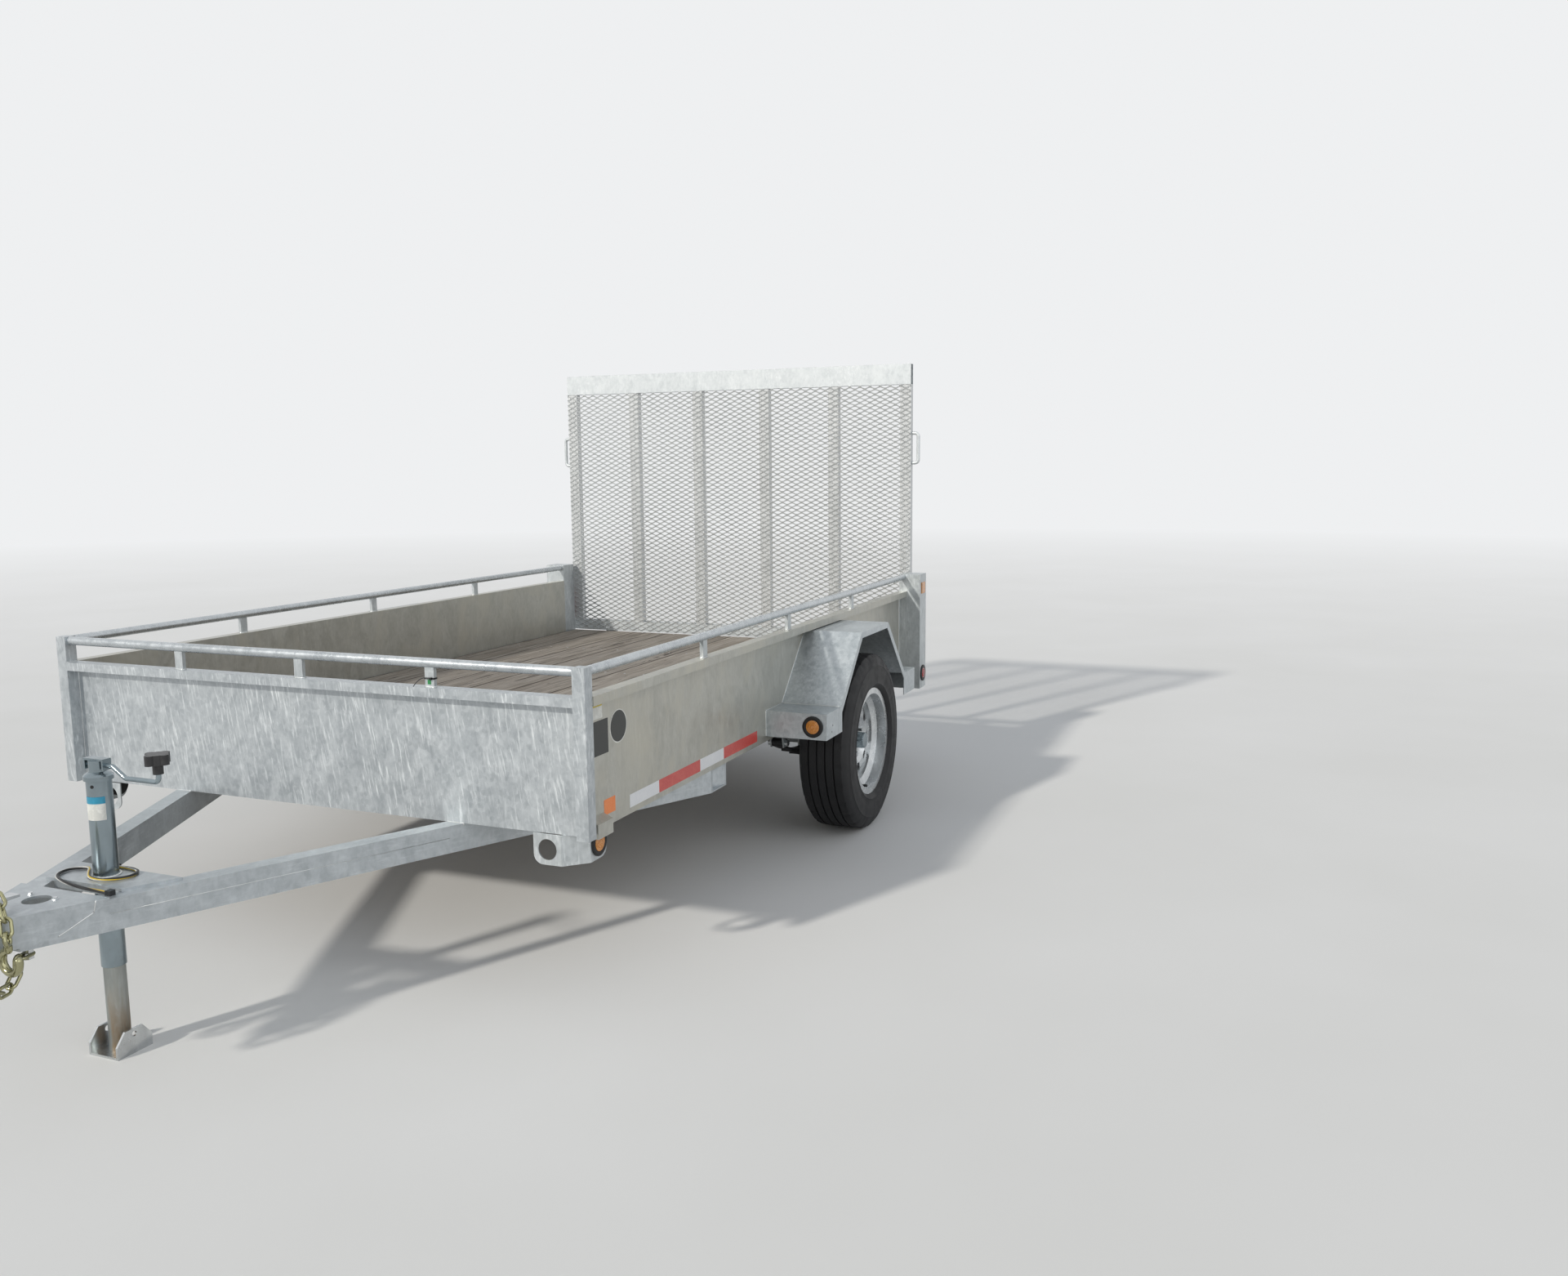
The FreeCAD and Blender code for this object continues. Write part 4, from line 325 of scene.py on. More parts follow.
def galvanised(name, dark, light, streaks, spangle=0.25, rough=(0.34, 0.52), metal=0.62,
               run=(1, 0.9, 0.13), lean=0.0, stain_and_grass_reflection=None, spots=()):
    """Hot-dip zinc: cloudy ground with crystals, and short pale marks where the zinc ran."""
    paint = Paint(name, metal=metal)
    blotch = paint.grey(paint.noise(17, detail=6, stretch=(1, 1, 0.6), warp=1.2), 0.33, 0.67)
    grain = paint.grey(paint.noise(120, stretch=(1, 1, 0.5)), 0.3, 0.7)
    crystal = paint.cells(80)
    cloud = paint.grey(paint.noise(2.6), 0.3, 0.7)
    layers = (cloud, blotch, grain, crystal)
    tone = zinc_ground(paint, dark, light, layers, (*GROUND_WEIGHTS, spangle))
    # Warm patches, used on the side sheets: part real stain, part painted reflection of grass.
    if stain_and_grass_reflection:
        where = paint.ramp(paint.noise(4.2, detail=5, stretch=(1, 1, 0.6), warp=1.5),
                           [(0.50, (0, 0, 0)), (0.72, (1, 1, 1))])
        tone = paint.mix(where, tone, stain_and_grass_reflection)
    mark = zinc_marks(paint, run, lean, streaks)
    tone = paint.mix(mark, tone, light)
    for spot in spots:
        tone = paint.mix(paint.near(spot, SPECK_RADIUS), tone, SPECK_TONE)
    paint.colour(tone)
    half_blotch = paint.times(blotch, 0.5)
    paint.roughness(paint.math("MULTIPLY_ADD", crystal, 0.5, half_blotch), *rough)
    paint.bump(mark, 0.0003, 0.35)
    paint.bump(grain, 0.00012, 0.25)
    return paint.material


def zinc_plate(name, tone, rough, grime=0.35):
    """Bright plate with a faint film and specks."""
    paint = Paint(name, metal=0.9)
    film = paint.grey(paint.noise(16, detail=5, stretch=(1, 1, 0.35), warp=0.8), 0.35, 0.7)
    speck = paint.ramp(paint.noise(160, detail=3), [(0.62, (0, 0, 0)), (0.75, (1, 1, 1))])
    dull = tuple(value * 0.72 for value in tone)
    base = paint.mix(film, tone, dull)
    paint.colour(paint.mix(paint.times(speck, grime), base, (0.22, 0.20, 0.17)))
    paint.roughness(film, *rough)
    paint.bump(paint.noise(300, detail=2), 0.00015, 0.35)
    return paint.material


def stained_ram():
    """Zinc ram with rust-brown runs and dried mud towards its foot."""
    paint = Paint("ram_zinc", metal=0.75)
    run = paint.grey(paint.noise(34, detail=5, stretch=(1, 1, 0.16), warp=0.7), 0.4, 0.62)
    low = paint.grey(paint.axis("Z"), 0.20, 0.02)
    dirt = paint.times(run, paint.math("MAXIMUM", low, 0.12))
    base = paint.ramp(paint.noise(20, stretch=(1, 1, 0.3)),
                      [(0.3, (0.22, 0.24, 0.235)), (0.7, (0.38, 0.40, 0.385))])
    paint.colour(paint.mix(dirt, base, (0.24, 0.17, 0.10)))
    paint.roughness(run, 0.3, 0.6)
    paint.bump(paint.noise(240, detail=3), 0.0002, 0.4)
    return paint.material


# Deck: planks, their gap, the share along a plank's edge painted dark as shade of the gap, and the
# reach of the planks' places in one long grain pattern
PLANKS = 10
PLANK_GAP = 0.003
PLANK_EDGE = 0.016
GRAIN_SHIFT = 37.0
WOOD_TONES = ((0.30, (0.10, 0.085, 0.07)), (0.50, (0.29, 0.255, 0.215)),
              (0.70, (0.50, 0.455, 0.40)))
WOOD_SCUFF = (0.44, 0.415, 0.385)
WOOD_DARK = (0.05, 0.04, 0.035)
PLANK_TONES = ((0.0, (0.80, 0.79, 0.78)), (1.0, (1.0, 0.98, 0.95)))


def plank_gap_shade(paint, place_in_rows):
    """One at each edge of a plank, by the gap: painted shade of the gap."""
    share = paint.math("FRACT", place_in_rows)
    off_middle = paint.math("ABSOLUTE", paint.math("SUBTRACT", share, 0.5))
    return paint.grey(off_middle, 0.5 - PLANK_EDGE * 2, 0.5 - PLANK_EDGE)


def shifted_place(paint, chance):
    """Place in the grain pattern, moved along the bed by each plank's own chance."""
    shift = paint.add("CombineXYZ", X=paint.times(chance, GRAIN_SHIFT))
    return paint.vectors("ADD", paint.place, shift.outputs[0])


def weathered_wood():
    """Grey softwood planks: grain along the bed, dark checks and lighter scuffs."""
    paint = Paint("weathered_wood", rough=0.82, Specular_IOR_Level=0.25)
    pitch = (deck_high.y - deck_low.y) / PLANKS
    place_in_rows = paint.math("DIVIDE", paint.axis("Y"), pitch)
    chance = paint.add("TexWhiteNoise")
    chance.noise_dimensions = "1D"
    paint.feed(chance.inputs["W"], paint.math("FLOOR", place_in_rows))
    along = shifted_place(paint, chance.outputs["Value"])
    grain = paint.noise(60, detail=6, stretch=(0.045, 1, 1), warp=1.4, rough=0.68, place=along)
    broad = paint.noise(9, stretch=(0.12, 1, 1), warp=1.0, place=along)
    scuff = paint.times(paint.grey(broad, 0.35, 0.7), 0.45)
    tone = paint.mix(scuff, paint.ramp(grain, WOOD_TONES), WOOD_SCUFF)
    own = paint.ramp(chance.outputs["Value"], PLANK_TONES)
    tone = paint.mix(1.0, tone, own, "MULTIPLY")
    check = paint.ramp(paint.noise(38, detail=5, stretch=(0.05, 1, 1), warp=2.2, place=along),
                       [(0.335, (1, 1, 1)), (0.37, (0, 0, 0))])
    # Dark band along each plank's edges: painted shade of the gaps between planks.
    edge = paint.times(plank_gap_shade(paint, place_in_rows), 0.85)
    paint.colour(paint.mix(paint.math("MAXIMUM", check, edge), tone, WOOD_DARK))
    paint.bump(grain, 0.0012, 0.6)
    paint.bump(paint.math("SUBTRACT", 1.0, check), 0.0015, 0.7)
    return paint.material


def rubber(name, tone, rough=(0.55, 0.8)):
    paint = Paint(name, Specular_IOR_Level=0.35)
    dust = paint.grey(paint.noise(14, detail=5, warp=1.0), 0.45, 0.75)
    pale = tuple(value * 1.8 + 0.012 for value in tone)
    paint.colour(paint.mix(paint.times(dust, 0.4), tone, pale))
    paint.roughness(dust, *rough)
    paint.bump(paint.noise(420, detail=3), 0.0003, 0.5)
    return paint.material


def lens_plastic(name, deep, bright):
    """Moulded lens with fine optics: small cells of deeper and brighter tone."""
    paint = Paint(name, rough=0.14, Coat_Weight=0.6, Coat_Roughness=0.06,
                  Transmission_Weight=0.15)
    prism = paint.grey(paint.cells(420), 0.1, 0.9)
    paint.colour(paint.mix(paint.times(prism, 0.55), deep, bright))
    paint.bump(prism, 0.0004, 0.5)
    return paint.material


def sticker(name, tone, fade):
    """Reflective tape with its honeycomb of cells, faded in patches."""
    paint = Paint(name, rough=0.35, Coat_Weight=0.35, Coat_Roughness=0.2)
    cell = paint.grey(paint.cells(360), 0.0, 1.0)
    worn = paint.grey(paint.noise(30), 0.45, 0.75)
    base = paint.mix(paint.times(cell, 0.3), tone, fade)
    paint.colour(paint.mix(paint.times(worn, 0.35), base, fade))
    paint.bump(cell, 0.0001, 0.3)
    return paint.material


def moulded(name, tone, rough=(0.35, 0.55)):
    paint = Paint(name)
    scuff = paint.grey(paint.noise(60, detail=5, warp=0.6), 0.5, 0.75)
    pale = tuple(value * 1.6 + 0.015 for value in tone)
    paint.colour(paint.mix(paint.times(scuff, 0.5), tone, pale))
    paint.roughness(scuff, *rough)
    paint.bump(paint.noise(500, detail=2), 0.0002, 0.5)
    return paint.material


def rim_silver():
    """Silver paint with road film."""
    paint = Paint("rim_silver", metal=0.75, Coat_Weight=0.25, Coat_Roughness=0.15)
    film = paint.grey(paint.noise(18, detail=5, warp=0.8), 0.35, 0.75)
    paint.colour(paint.mix(film, (0.66, 0.68, 0.69), (0.50, 0.52, 0.53)))
    paint.roughness(film, 0.22, 0.42)
    paint.bump(paint.noise(320, detail=2), 0.00006, 0.3)
    return paint.material


# Zinc paints: dark and light tone, and what differs from a usual sheet
ZINC = {
    "panel": ((0.39, 0.42, 0.44), (0.84, 0.87, 0.88),
              dict(streaks=0.85, run=(1, 1, 0.11), lean=math.radians(-9))),
    "post": ((0.42, 0.45, 0.46), (0.82, 0.85, 0.86), dict(streaks=0.6)),
    # Side sheets and lamp guards: the warm olive tint and warm patches are painted reflection of
    # grass, and the light tone, darker than the other sheets', is painted shade.
    "side": ((0.39, 0.385, 0.345), (0.70, 0.70, 0.65),
             dict(streaks=0.25, spangle=0.12, stain_and_grass_reflection=(0.50, 0.485, 0.42), rough=(0.28, 0.44))),
    "rail": ((0.44, 0.47, 0.49), (0.84, 0.87, 0.88),
             dict(streaks=0.5, spangle=0.15, rough=(0.22, 0.36), metal=0.8, run=(1, 1, 1))),
    "gate": ((0.56, 0.59, 0.60), (0.84, 0.86, 0.865),
             dict(streaks=0.45, spangle=0.30, metal=0.35, run=(1, 0.8, 0.4))),
    # Uprights a little darker than the gate and mesh: painted shade of the mesh in front of them.
    "upright": ((0.52, 0.53, 0.53), (0.80, 0.81, 0.81), dict(streaks=0.4, metal=0.35)),
    "mesh": ((0.56, 0.58, 0.58), (0.84, 0.85, 0.85),
             dict(streaks=0.3, spangle=0.30, metal=0.30, rough=(0.38, 0.52))),
    "tongue": ((0.38, 0.41, 0.43), (0.76, 0.80, 0.82),
               dict(streaks=0.3, spangle=0.15, run=(0.14, 0.14, 1.0), rough=(0.30, 0.46))),
    "fender": ((0.40, 0.44, 0.46), (0.84, 0.87, 0.88),
               dict(streaks=0.25, spangle=0.40, rough=(0.30, 0.48), spots=FENDER_SPECKS)),
    "under": ((0.28, 0.30, 0.31), (0.60, 0.62, 0.62), dict(streaks=0.3)),
}
WIRE_TONES = {"wire_black": (0.016, 0.016, 0.017), "wire_yellow": (0.60, 0.42, 0.03),
              "wire_white": (0.60, 0.60, 0.57), "wire_green": (0.03, 0.22, 0.07)}


def make_materials():
    """Every paint by its key."""
    zinc = {key: galvanised("zinc_" + key, dark, light, **more)
            for key, (dark, light, more) in ZINC.items()}
    wires = {key: moulded(key, tone) for key, tone in WIRE_TONES.items()}
    return {
        **zinc,
        **wires,
        "jack": zinc_plate("jack_zinc", (0.31, 0.37, 0.40), rough=(0.16, 0.28)),
        "bright": zinc_plate("bright_zinc", (0.66, 0.68, 0.69), rough=(0.16, 0.32)),
        "yellow": zinc_plate("yellow_zinc", (0.40, 0.385, 0.23), rough=(0.15, 0.28), grime=0.3),
        "weld": zinc_plate("weld_zinc", (0.70, 0.72, 0.72), rough=(0.28, 0.5), grime=0.3),
        "ram": stained_ram(),
        "wood": weathered_wood(),
        "tyre": rubber("tyre_rubber", (0.014, 0.014, 0.015)),
        "ring": rubber("ring_rubber", (0.012, 0.012, 0.012), rough=(0.4, 0.6)),
        "rim": rim_silver(),
        "amber": lens_plastic("amber_lens", (0.62, 0.20, 0.02), (0.95, 0.45, 0.08)),
        "red": lens_plastic("red_lens", (0.30, 0.010, 0.012), (0.60, 0.03, 0.03)),
        "knob": moulded("black_knob", (0.018, 0.018, 0.019)),
        "tape_white": sticker("tape_white", (0.66, 0.67, 0.69), (0.80, 0.80, 0.79)),
        "tape_red": sticker("tape_red", (0.50, 0.035, 0.03), (0.66, 0.14, 0.10)),
        "orange": sticker("orange_marker", (0.78, 0.19, 0.03), (0.88, 0.34, 0.10)),
        "plate": moulded("blank_plate", (0.030, 0.032, 0.030)),
        "tag": moulded("blank_tag", (0.55, 0.44, 0.06), rough=(0.3, 0.45)),
        "label": moulded("blank_label", (0.62, 0.62, 0.58), rough=(0.3, 0.45)),
        "label_band": moulded("blue_band", (0.03, 0.26, 0.40), rough=(0.3, 0.45)),
    }


# Which paint each CAD node gets
NODE_PAINT = {
    "panel": "front_panel front_posts",
    "post": "rear_posts corner_brackets rail_stakes",
    "side": "side_sheet_left side_sheet_right lamp_guards",
    "rail": "front_rail side_rails",
    "gate": "gate_top_channel gate_sill gate_handles gate_knuckles hinge_brackets",
    "upright": "gate_uprights",
    "mesh": "gate_mesh",
    "tongue": "tongue_legs jack_plate coupler",
    "fender": "fender_left fender_right",
    "under": "side_members cross_members spring_hangers axle_beam axle_clamps",
    "jack": "jack_tube jack_head jack_crank",
    "bright": "jack_foot coupler_latch chain_bolts spring_bolts wheel_nuts_left wheel_nuts_right",
    "yellow": "safety_chain_left safety_chain_right",
    "ram": "jack_ram",
    "wood": "deck_planks",
    "tyre": "tyre_left tyre_right leaf_springs",
    "ring": "lamp_grommets hub_left hub_right",
    "rim": "rim_left rim_right",
    "amber": "amber_lamps side_reflectors",
    "red": "red_side_lamps tail_lamps",
    "knob": "jack_knob wiring_clip wiring_plug wiring_lead",
}


def dress_nodes(paints):
    for key, names in NODE_PAINT.items():
        for name in names.split():
            data = nodes[name].data
            data.materials.clear()
            data.materials.append(paints[key])


# Making meshes

BEAD_PITCH = 0.004
BEAD_DIP = 0.8


def around(side, other, angle):
    """Direction at an angle between two directions that are square to each other."""
    return side * math.cos(angle) + other * math.sin(angle)


def along_path(path):
    """Each point of a path with two directions square to the path, which don't twist."""
    side = None
    for number, point in enumerate(path):
        before = path[max(number - 1, 0)]
        after = path[min(number + 1, len(path) - 1)]
        ahead = (after - before).normalized()
        if side is None:
            side = ahead.orthogonal().normalized()
        side = (side - ahead * side.dot(ahead)).normalized()
        yield point, side, ahead.cross(side)


def rippled(radius):
    """A weld bead's radius by the number of its ripple."""
    return lambda number: radius if number % 2 else radius * BEAD_DIP


class Heap:
    """Points and faces of many small forms that become one piece."""

    def __init__(self):
        self.points = []
        self.faces = []

    def add(self, points, faces):
        start = len(self.points)
        self.points.extend(Vector(point) for point in points)
        self.faces.extend(tuple(index + start for index in face) for face in faces)

    def box(self, low, high):
        corners = [(x, y, z) for x in (low[0], high[0]) for y in (low[1], high[1])
                   for z in (low[2], high[2])]
        self.add(corners, [(0, 1, 3, 2), (4, 6, 7, 5), (0, 4, 5, 1), (2, 3, 7, 6),
                           (0, 2, 6, 4), (1, 5, 7, 3)])

    def lathe(self, place, axis, profile, steps, shape=None):
        """Revolve (along, radius) pairs about an axis through place; shape may vary a radius."""
        ahead = Vector(axis).normalized()
        side = ahead.orthogonal().normalized()
        other = ahead.cross(side)
        points = []
        for step in range(steps):
            way = around(side, other, 2 * math.pi * step / steps)
            for number, (along, radius) in enumerate(profile):
                reach = shape(number, step, radius) if shape else radius
                points.append(Vector(place) + ahead * along + way * reach)
        count = len(profile)
        faces = []
        for step in range(steps):
            first = step * count
            skip = (step + 1) % steps * count - first
            for here in range(first, first + count - 1):
                faces.append((here, here + skip, here + skip + 1, here + 1))
        self.add(points, faces)

    def tube(self, path, radius, sides=6):
        """Round bar along a path; radius may be a function of the point's number."""
        path = [Vector(point) for point in path]
        size = radius if callable(radius) else (lambda number: radius)
        points = []
        for number, (point, side, other) in enumerate(along_path(path)):
            for step in range(sides):
                way = around(side, other, 2 * math.pi * step / sides)
                points.append(point + way * size(number))
        last = (len(path) - 1) * sides
        faces = []
        for first in range(0, last, sides):
            for step in range(sides):
                here, beside = first + step, first + (step + 1) % sides
                faces.append((here, beside, beside + sides, here + sides))
        faces.append(tuple(reversed(range(sides))))
        faces.append(tuple(last + step for step in range(sides)))
        self.add(points, faces)

    def bead(self, start, end, radius):
        """A weld: a low rippled bead along a straight joint."""
        start, end = Vector(start), Vector(end)
        count = max(int((end - start).length / BEAD_PITCH), 2)
        path = [start.lerp(end, number / count) for number in range(count + 1)]
        self.tube(path, rippled(radius))

    def piece(self, name, paint, slot, body="chassis", smooth=False):
        """The heap as one object that rides on a body."""
        mesh = bpy.data.meshes.new(name)
        mesh.from_pydata([tuple(point) for point in self.points], [], self.faces)
        mesh.materials.append(paint)
        mesh.validate()
        if smooth:
            mesh.shade_smooth()
        piece = link_object(name, mesh)
        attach(piece, body)
        return piece


# Gate mesh: pitch of its openings, a strand's width, thickness and lean, and half a bond's
# length, where two strands run side by side

MESH_LONG_WAY = 0.0508
MESH_SHORT_WAY = 0.0254
MESH_STRAND = 0.0058
MESH_GAUGE = 0.0026
MESH_TILT = math.radians(26)
MESH_BOND = 0.0068
# How far a strand reaches into its bonds, as shares of its width and of a bond
STRAND_INTO_BOND = 0.45
STRAND_START = 0.3
STRAND_END = 0.7
BAR_SIDES = [(0, 1, 5, 4), (1, 2, 6, 5), (2, 3, 7, 6), (3, 0, 4, 7)]
BAR_ENDS = [(3, 2, 1, 0), (4, 5, 6, 7)]


def add_mesh_bar(heap, start, end, strands, faces):
    """A leaning flat bar of one strand's or a bond's two strands' width."""
    wide = Vector((math.sin(MESH_TILT), 0, math.cos(MESH_TILT))) * MESH_STRAND / 2
    thick = Vector((math.cos(MESH_TILT), 0, -math.sin(MESH_TILT))) * MESH_GAUGE / 2
    points = []
    for end_point in (start, end):
        for across, through in ((1, 1), (1, -1), (-1, -1), (-1, 1)):
            points.append(end_point + wide * across * strands + thick * through)
    heap.add(points, faces)


def make_gate_mesh(paint):
    """Raised expanded mesh: every bond and strand leans the same way."""
    low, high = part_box("gate_mesh")
    columns = round((high.y - low.y) / MESH_LONG_WAY)
    rows = round((high.z - low.z) / MESH_SHORT_WAY) * 2
    step_y = (high.y - low.y) / columns
    step_z = (high.z - low.z - MESH_STRAND * 2) / rows
    plane = (low.x + high.x) / 2
    heap = Heap()
    for row in range(rows + 1):
        z = low.z + MESH_STRAND + step_z * row
        upper = z + MESH_STRAND * STRAND_INTO_BOND
        lower = z + step_z - MESH_STRAND * STRAND_INTO_BOND
        for column in range(columns + 1 - row % 2):
            y = low.y + step_y * (column + row % 2 / 2)
            left = Vector((plane, max(y - MESH_BOND, low.y), z))
            right = Vector((plane, min(y + MESH_BOND, high.y), z))
            add_mesh_bar(heap, left, right, 2, BAR_SIDES + BAR_ENDS)
            for sign, end, limit in ((1, right.y, high.y), (-1, left.y, low.y)):
                if row < rows and (limit - end) * sign > MESH_BOND:
                    start_y = end - MESH_BOND * STRAND_START * sign
                    end_y = y + (step_y / 2 - MESH_BOND * STRAND_END) * sign
                    add_mesh_bar(heap, Vector((plane, start_y, upper)),
                                 Vector((plane, end_y, lower)), 1, BAR_SIDES)
    piece = heap.piece("expanded_mesh", paint, "galvanised", "gate")
    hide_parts("gate_mesh")


# Tyres: wall as inset from the widest place and radius, shoulder as inset and drop below the
# tread, the tread's edge as distance from the middle and drop

TYRE_WALL = ((0.0205, 0.1935), (0.0195, 0.207), (0.012, 0.211), (0.0045, 0.222),
             (0.0015, 0.226), (0.0035, 0.231), (0.0005, 0.252), (0.0002, 0.272),
             (0.0030, 0.292), (0.0020, 0.296), (0.0050, 0.300), (0.0070, 0.312))
TYRE_SHOULDER = ((0.0135, 0.0130), (0.0200, 0.0055))
TREAD_EDGE = ((0.079, 0.0018), (0.070, 0.0006))
TREAD_GROOVES = ((-0.052, -0.046), (-0.019, -0.013), (0.013, 0.019), (0.046, 0.052))
GROOVE_DEPTH = 0.008
GROOVE_SLOPE = 0.001
TREAD_STEPS = 168
# Cuts across the shoulders: every sixth step, between two distances from the middle
CUT_EVERY = 6
CUT_FROM = 0.066
CUT_TO = 0.0905
CUT_LOWEST = 0.014
CUT_DEPTH = GROOVE_DEPTH * 0.6
TYRE_CREASE = math.radians(32)


def tyre_profile():
    """(along, radius) pairs from the inner bead over the tread to the outer bead."""
    low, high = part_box("tyre_left")
    half = (high.y - low.y) / 2
    deep = wheel_z - GROOVE_DEPTH
    wall = [(half - inset, radius) for inset, radius in TYRE_WALL]
    wall += [(half - inset, wheel_z - drop) for inset, drop in TYRE_SHOULDER]
    wall += [(along, wheel_z - drop) for along, drop in TREAD_EDGE]
    tread = []
    for start, end in TREAD_GROOVES:
        tread += [(start, wheel_z), (start + GROOVE_SLOPE, deep), (end - GROOVE_SLOPE, deep),
                  (end, wheel_z)]
    return [(-along, radius) for along, radius in wall] + tread + wall[::-1]


def make_tyres(paint):
    profile = tyre_profile()

    def notched(number, step, radius):
        along = abs(profile[number][0])
        shoulder = CUT_FROM < along < CUT_TO and radius > wheel_z - CUT_LOWEST
        return radius - CUT_DEPTH if shoulder and step % CUT_EVERY == 0 else radius

    for side, sign in (("left", 1), ("right", -1)):
        heap = Heap()
        place = (wheel_x, wheel_y * sign, wheel_z)
        heap.lathe(place, (0, 1, 0), profile, TREAD_STEPS, notched)
        tyre = heap.piece("tread_" + side, paint, "tyre", "wheel_" + side, smooth=True)
        tyre.data.set_sharp_from_angle(angle=TYRE_CREASE)
        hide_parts("tyre_" + side)


# Dust caps and valves; profiles are pairs of distance outward and radius

CAP_PROFILE = [(-0.039, 0.0310), (-0.003, 0.0310), (-0.0005, 0.0300), (0.0008, 0.0285),
               (0.0015, 0.0240), (0.0015, 0.0)]
CAP_RIBS = 22
CAP_RIBBED_POINTS = 3
CAP_GROOVE = 0.93
VALVE_PROFILE = [(-0.02, 0.0), (-0.02, 0.0065), (0.0, 0.006), (0.010, 0.0042), (0.024, 0.004),
                 (0.025, 0.0052), (0.036, 0.0052), (0.038, 0.0)]
VALVE_TURN = math.radians(-72)
VALVE_REACH = 0.176
VALVE_OUT = 0.050


def make_dust_cap(side, sign, paint):
    """Cap over the hub, ribbed along its rim."""
    def ribbed(number, step, radius):
        groove = number < CAP_RIBBED_POINTS and step % 4 > 1
        return radius * (CAP_GROOVE if groove else 1)

    cap = Heap()
    face = (wheel_x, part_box("hub_left")[1].y * sign, wheel_z)
    cap.lathe(face, (0, sign, 0), CAP_PROFILE, CAP_RIBS * 4, ribbed)
    cap.piece("dust_cap_" + side, paint, "zinc", "wheel_" + side)


def make_valve(side, sign, paint):
    """Rubber stem with its cap, through the rim."""
    stem = Heap()
    base = (wheel_x + VALVE_REACH * math.cos(VALVE_TURN), (wheel_y + VALVE_OUT) * sign,
            wheel_z + VALVE_REACH * math.sin(VALVE_TURN))
    stem.lathe(base, (0, sign, 0), VALVE_PROFILE, 16)
    stem.piece("valve_" + side, paint, "black_rubber", "wheel_" + side, smooth=True)


def make_wheel_trim(paints):
    for side, sign in (("left", 1), ("right", -1)):
        make_dust_cap(side, sign, paints["jack"])
        make_valve(side, sign, paints["ring"])


# Lamps; profiles are pairs of distance outward and radius

bracket_low, bracket_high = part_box("corner_brackets")
BRACKET_CHAMFER = 0.057
FRONT_LAMP_HEIGHT = 0.399
STEP_LAMP_INSET = 0.051
STEP_LAMP_HEIGHT = 0.503
POST_LAMP_HEIGHT = 0.428
RING_PROFILE = [(0.0, 0.038), (0.0025, 0.038), (0.0050, 0.0365), (0.0062, 0.033),
                (0.0062, 0.028), (0.0045, 0.0255), (0.0005, 0.0245)]
LENS_PROFILE = [(0.0005, 0.0245), (0.0052, 0.0243), (0.0060, 0.0232), (0.0060, 0.0200),
                (0.0072, 0.0192), (0.0078, 0.0160), (0.0070, 0.0150), (0.0082, 0.0140),
                (0.0088, 0.0080), (0.0078, 0.0072), (0.0090, 0.0060), (0.0090, 0.0)]
LAMP_STEPS = 48
LENS_CREASE = math.radians(30)
LAMP_NODES = {"amber": "amber_lamps", "red": "red_side_lamps"}


def lamp_places():
    """Middle and outward direction of every round lamp, by colour."""
    front_x = (bracket_low.x + bracket_high.x - BRACKET_CHAMFER) / 2
    step_y = fender_high.y - STEP_LAMP_INSET
    post_x = middle("rear_posts", "x")
    post_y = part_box("rear_posts")[1].y
    places = {"amber": [], "red": []}
    for sign in (1, -1):
        places["amber"] += [((front_x, bracket_high.y * sign, FRONT_LAMP_HEIGHT), (0, sign, 0)),
                            ((fender_high.x, step_y * sign, STEP_LAMP_HEIGHT), (1, 0, 0))]
        places["red"].append(((post_x, post_y * sign, POST_LAMP_HEIGHT), (0, sign, 0)))
    return places


def make_lamps(paints):
    """Ribbed lenses, and the rubber ring round each."""
    rings = Heap()
    for key, spots in lamp_places().items():
        domes = Heap()
        for place, way in spots:
            rings.lathe(place, way, RING_PROFILE, LAMP_STEPS)
            domes.lathe(place, way, LENS_PROFILE, LAMP_STEPS)
        piece = domes.piece(key + "_domes", paints[key], key + "_lens", smooth=True)
        piece.data.set_sharp_from_angle(angle=LENS_CREASE)
        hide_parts(LAMP_NODES[key])
    rings.piece("rubber_rings", paints["ring"], "black_rubber", smooth=True)


# Stickers: tape from front to back as paint and length; an area is the lowest and highest
# place along the trailer, then the lowest and highest height

STICKER = 0.0005
TAPE_START = 0.2835
TAPE_LOW = 0.455
TAPE_HIGH = 0.493
TAPE_GAP = 0.0005
TAPE_BLOCKS = (("tape_white", 0.178), ("tape_red", 0.279), ("tape_white", 0.178),
               ("tape_red", 0.279))
# Paint, side of the trailer, thickness and area
PATCHES = (("orange", 1, STICKER, (0.790, 0.851, 0.470, 0.513)),
           ("orange", -1, STICKER, (0.790, 0.851, 0.470, 0.513)),
           ("plate", 1, STICKER * 2, (0.820, 0.904, 0.642, 0.737)),
           ("tag", 1, STICKER, (0.848, 0.900, 0.776, 0.788)),
           ("label", 1, STICKER, (0.848, 0.900, 0.743, 0.776)))
DISC_PLACE = (0.762, 0.703)
DISC_RADIUS = 0.047
DISC_RIM = 0.003
DISC_STEPS = 64


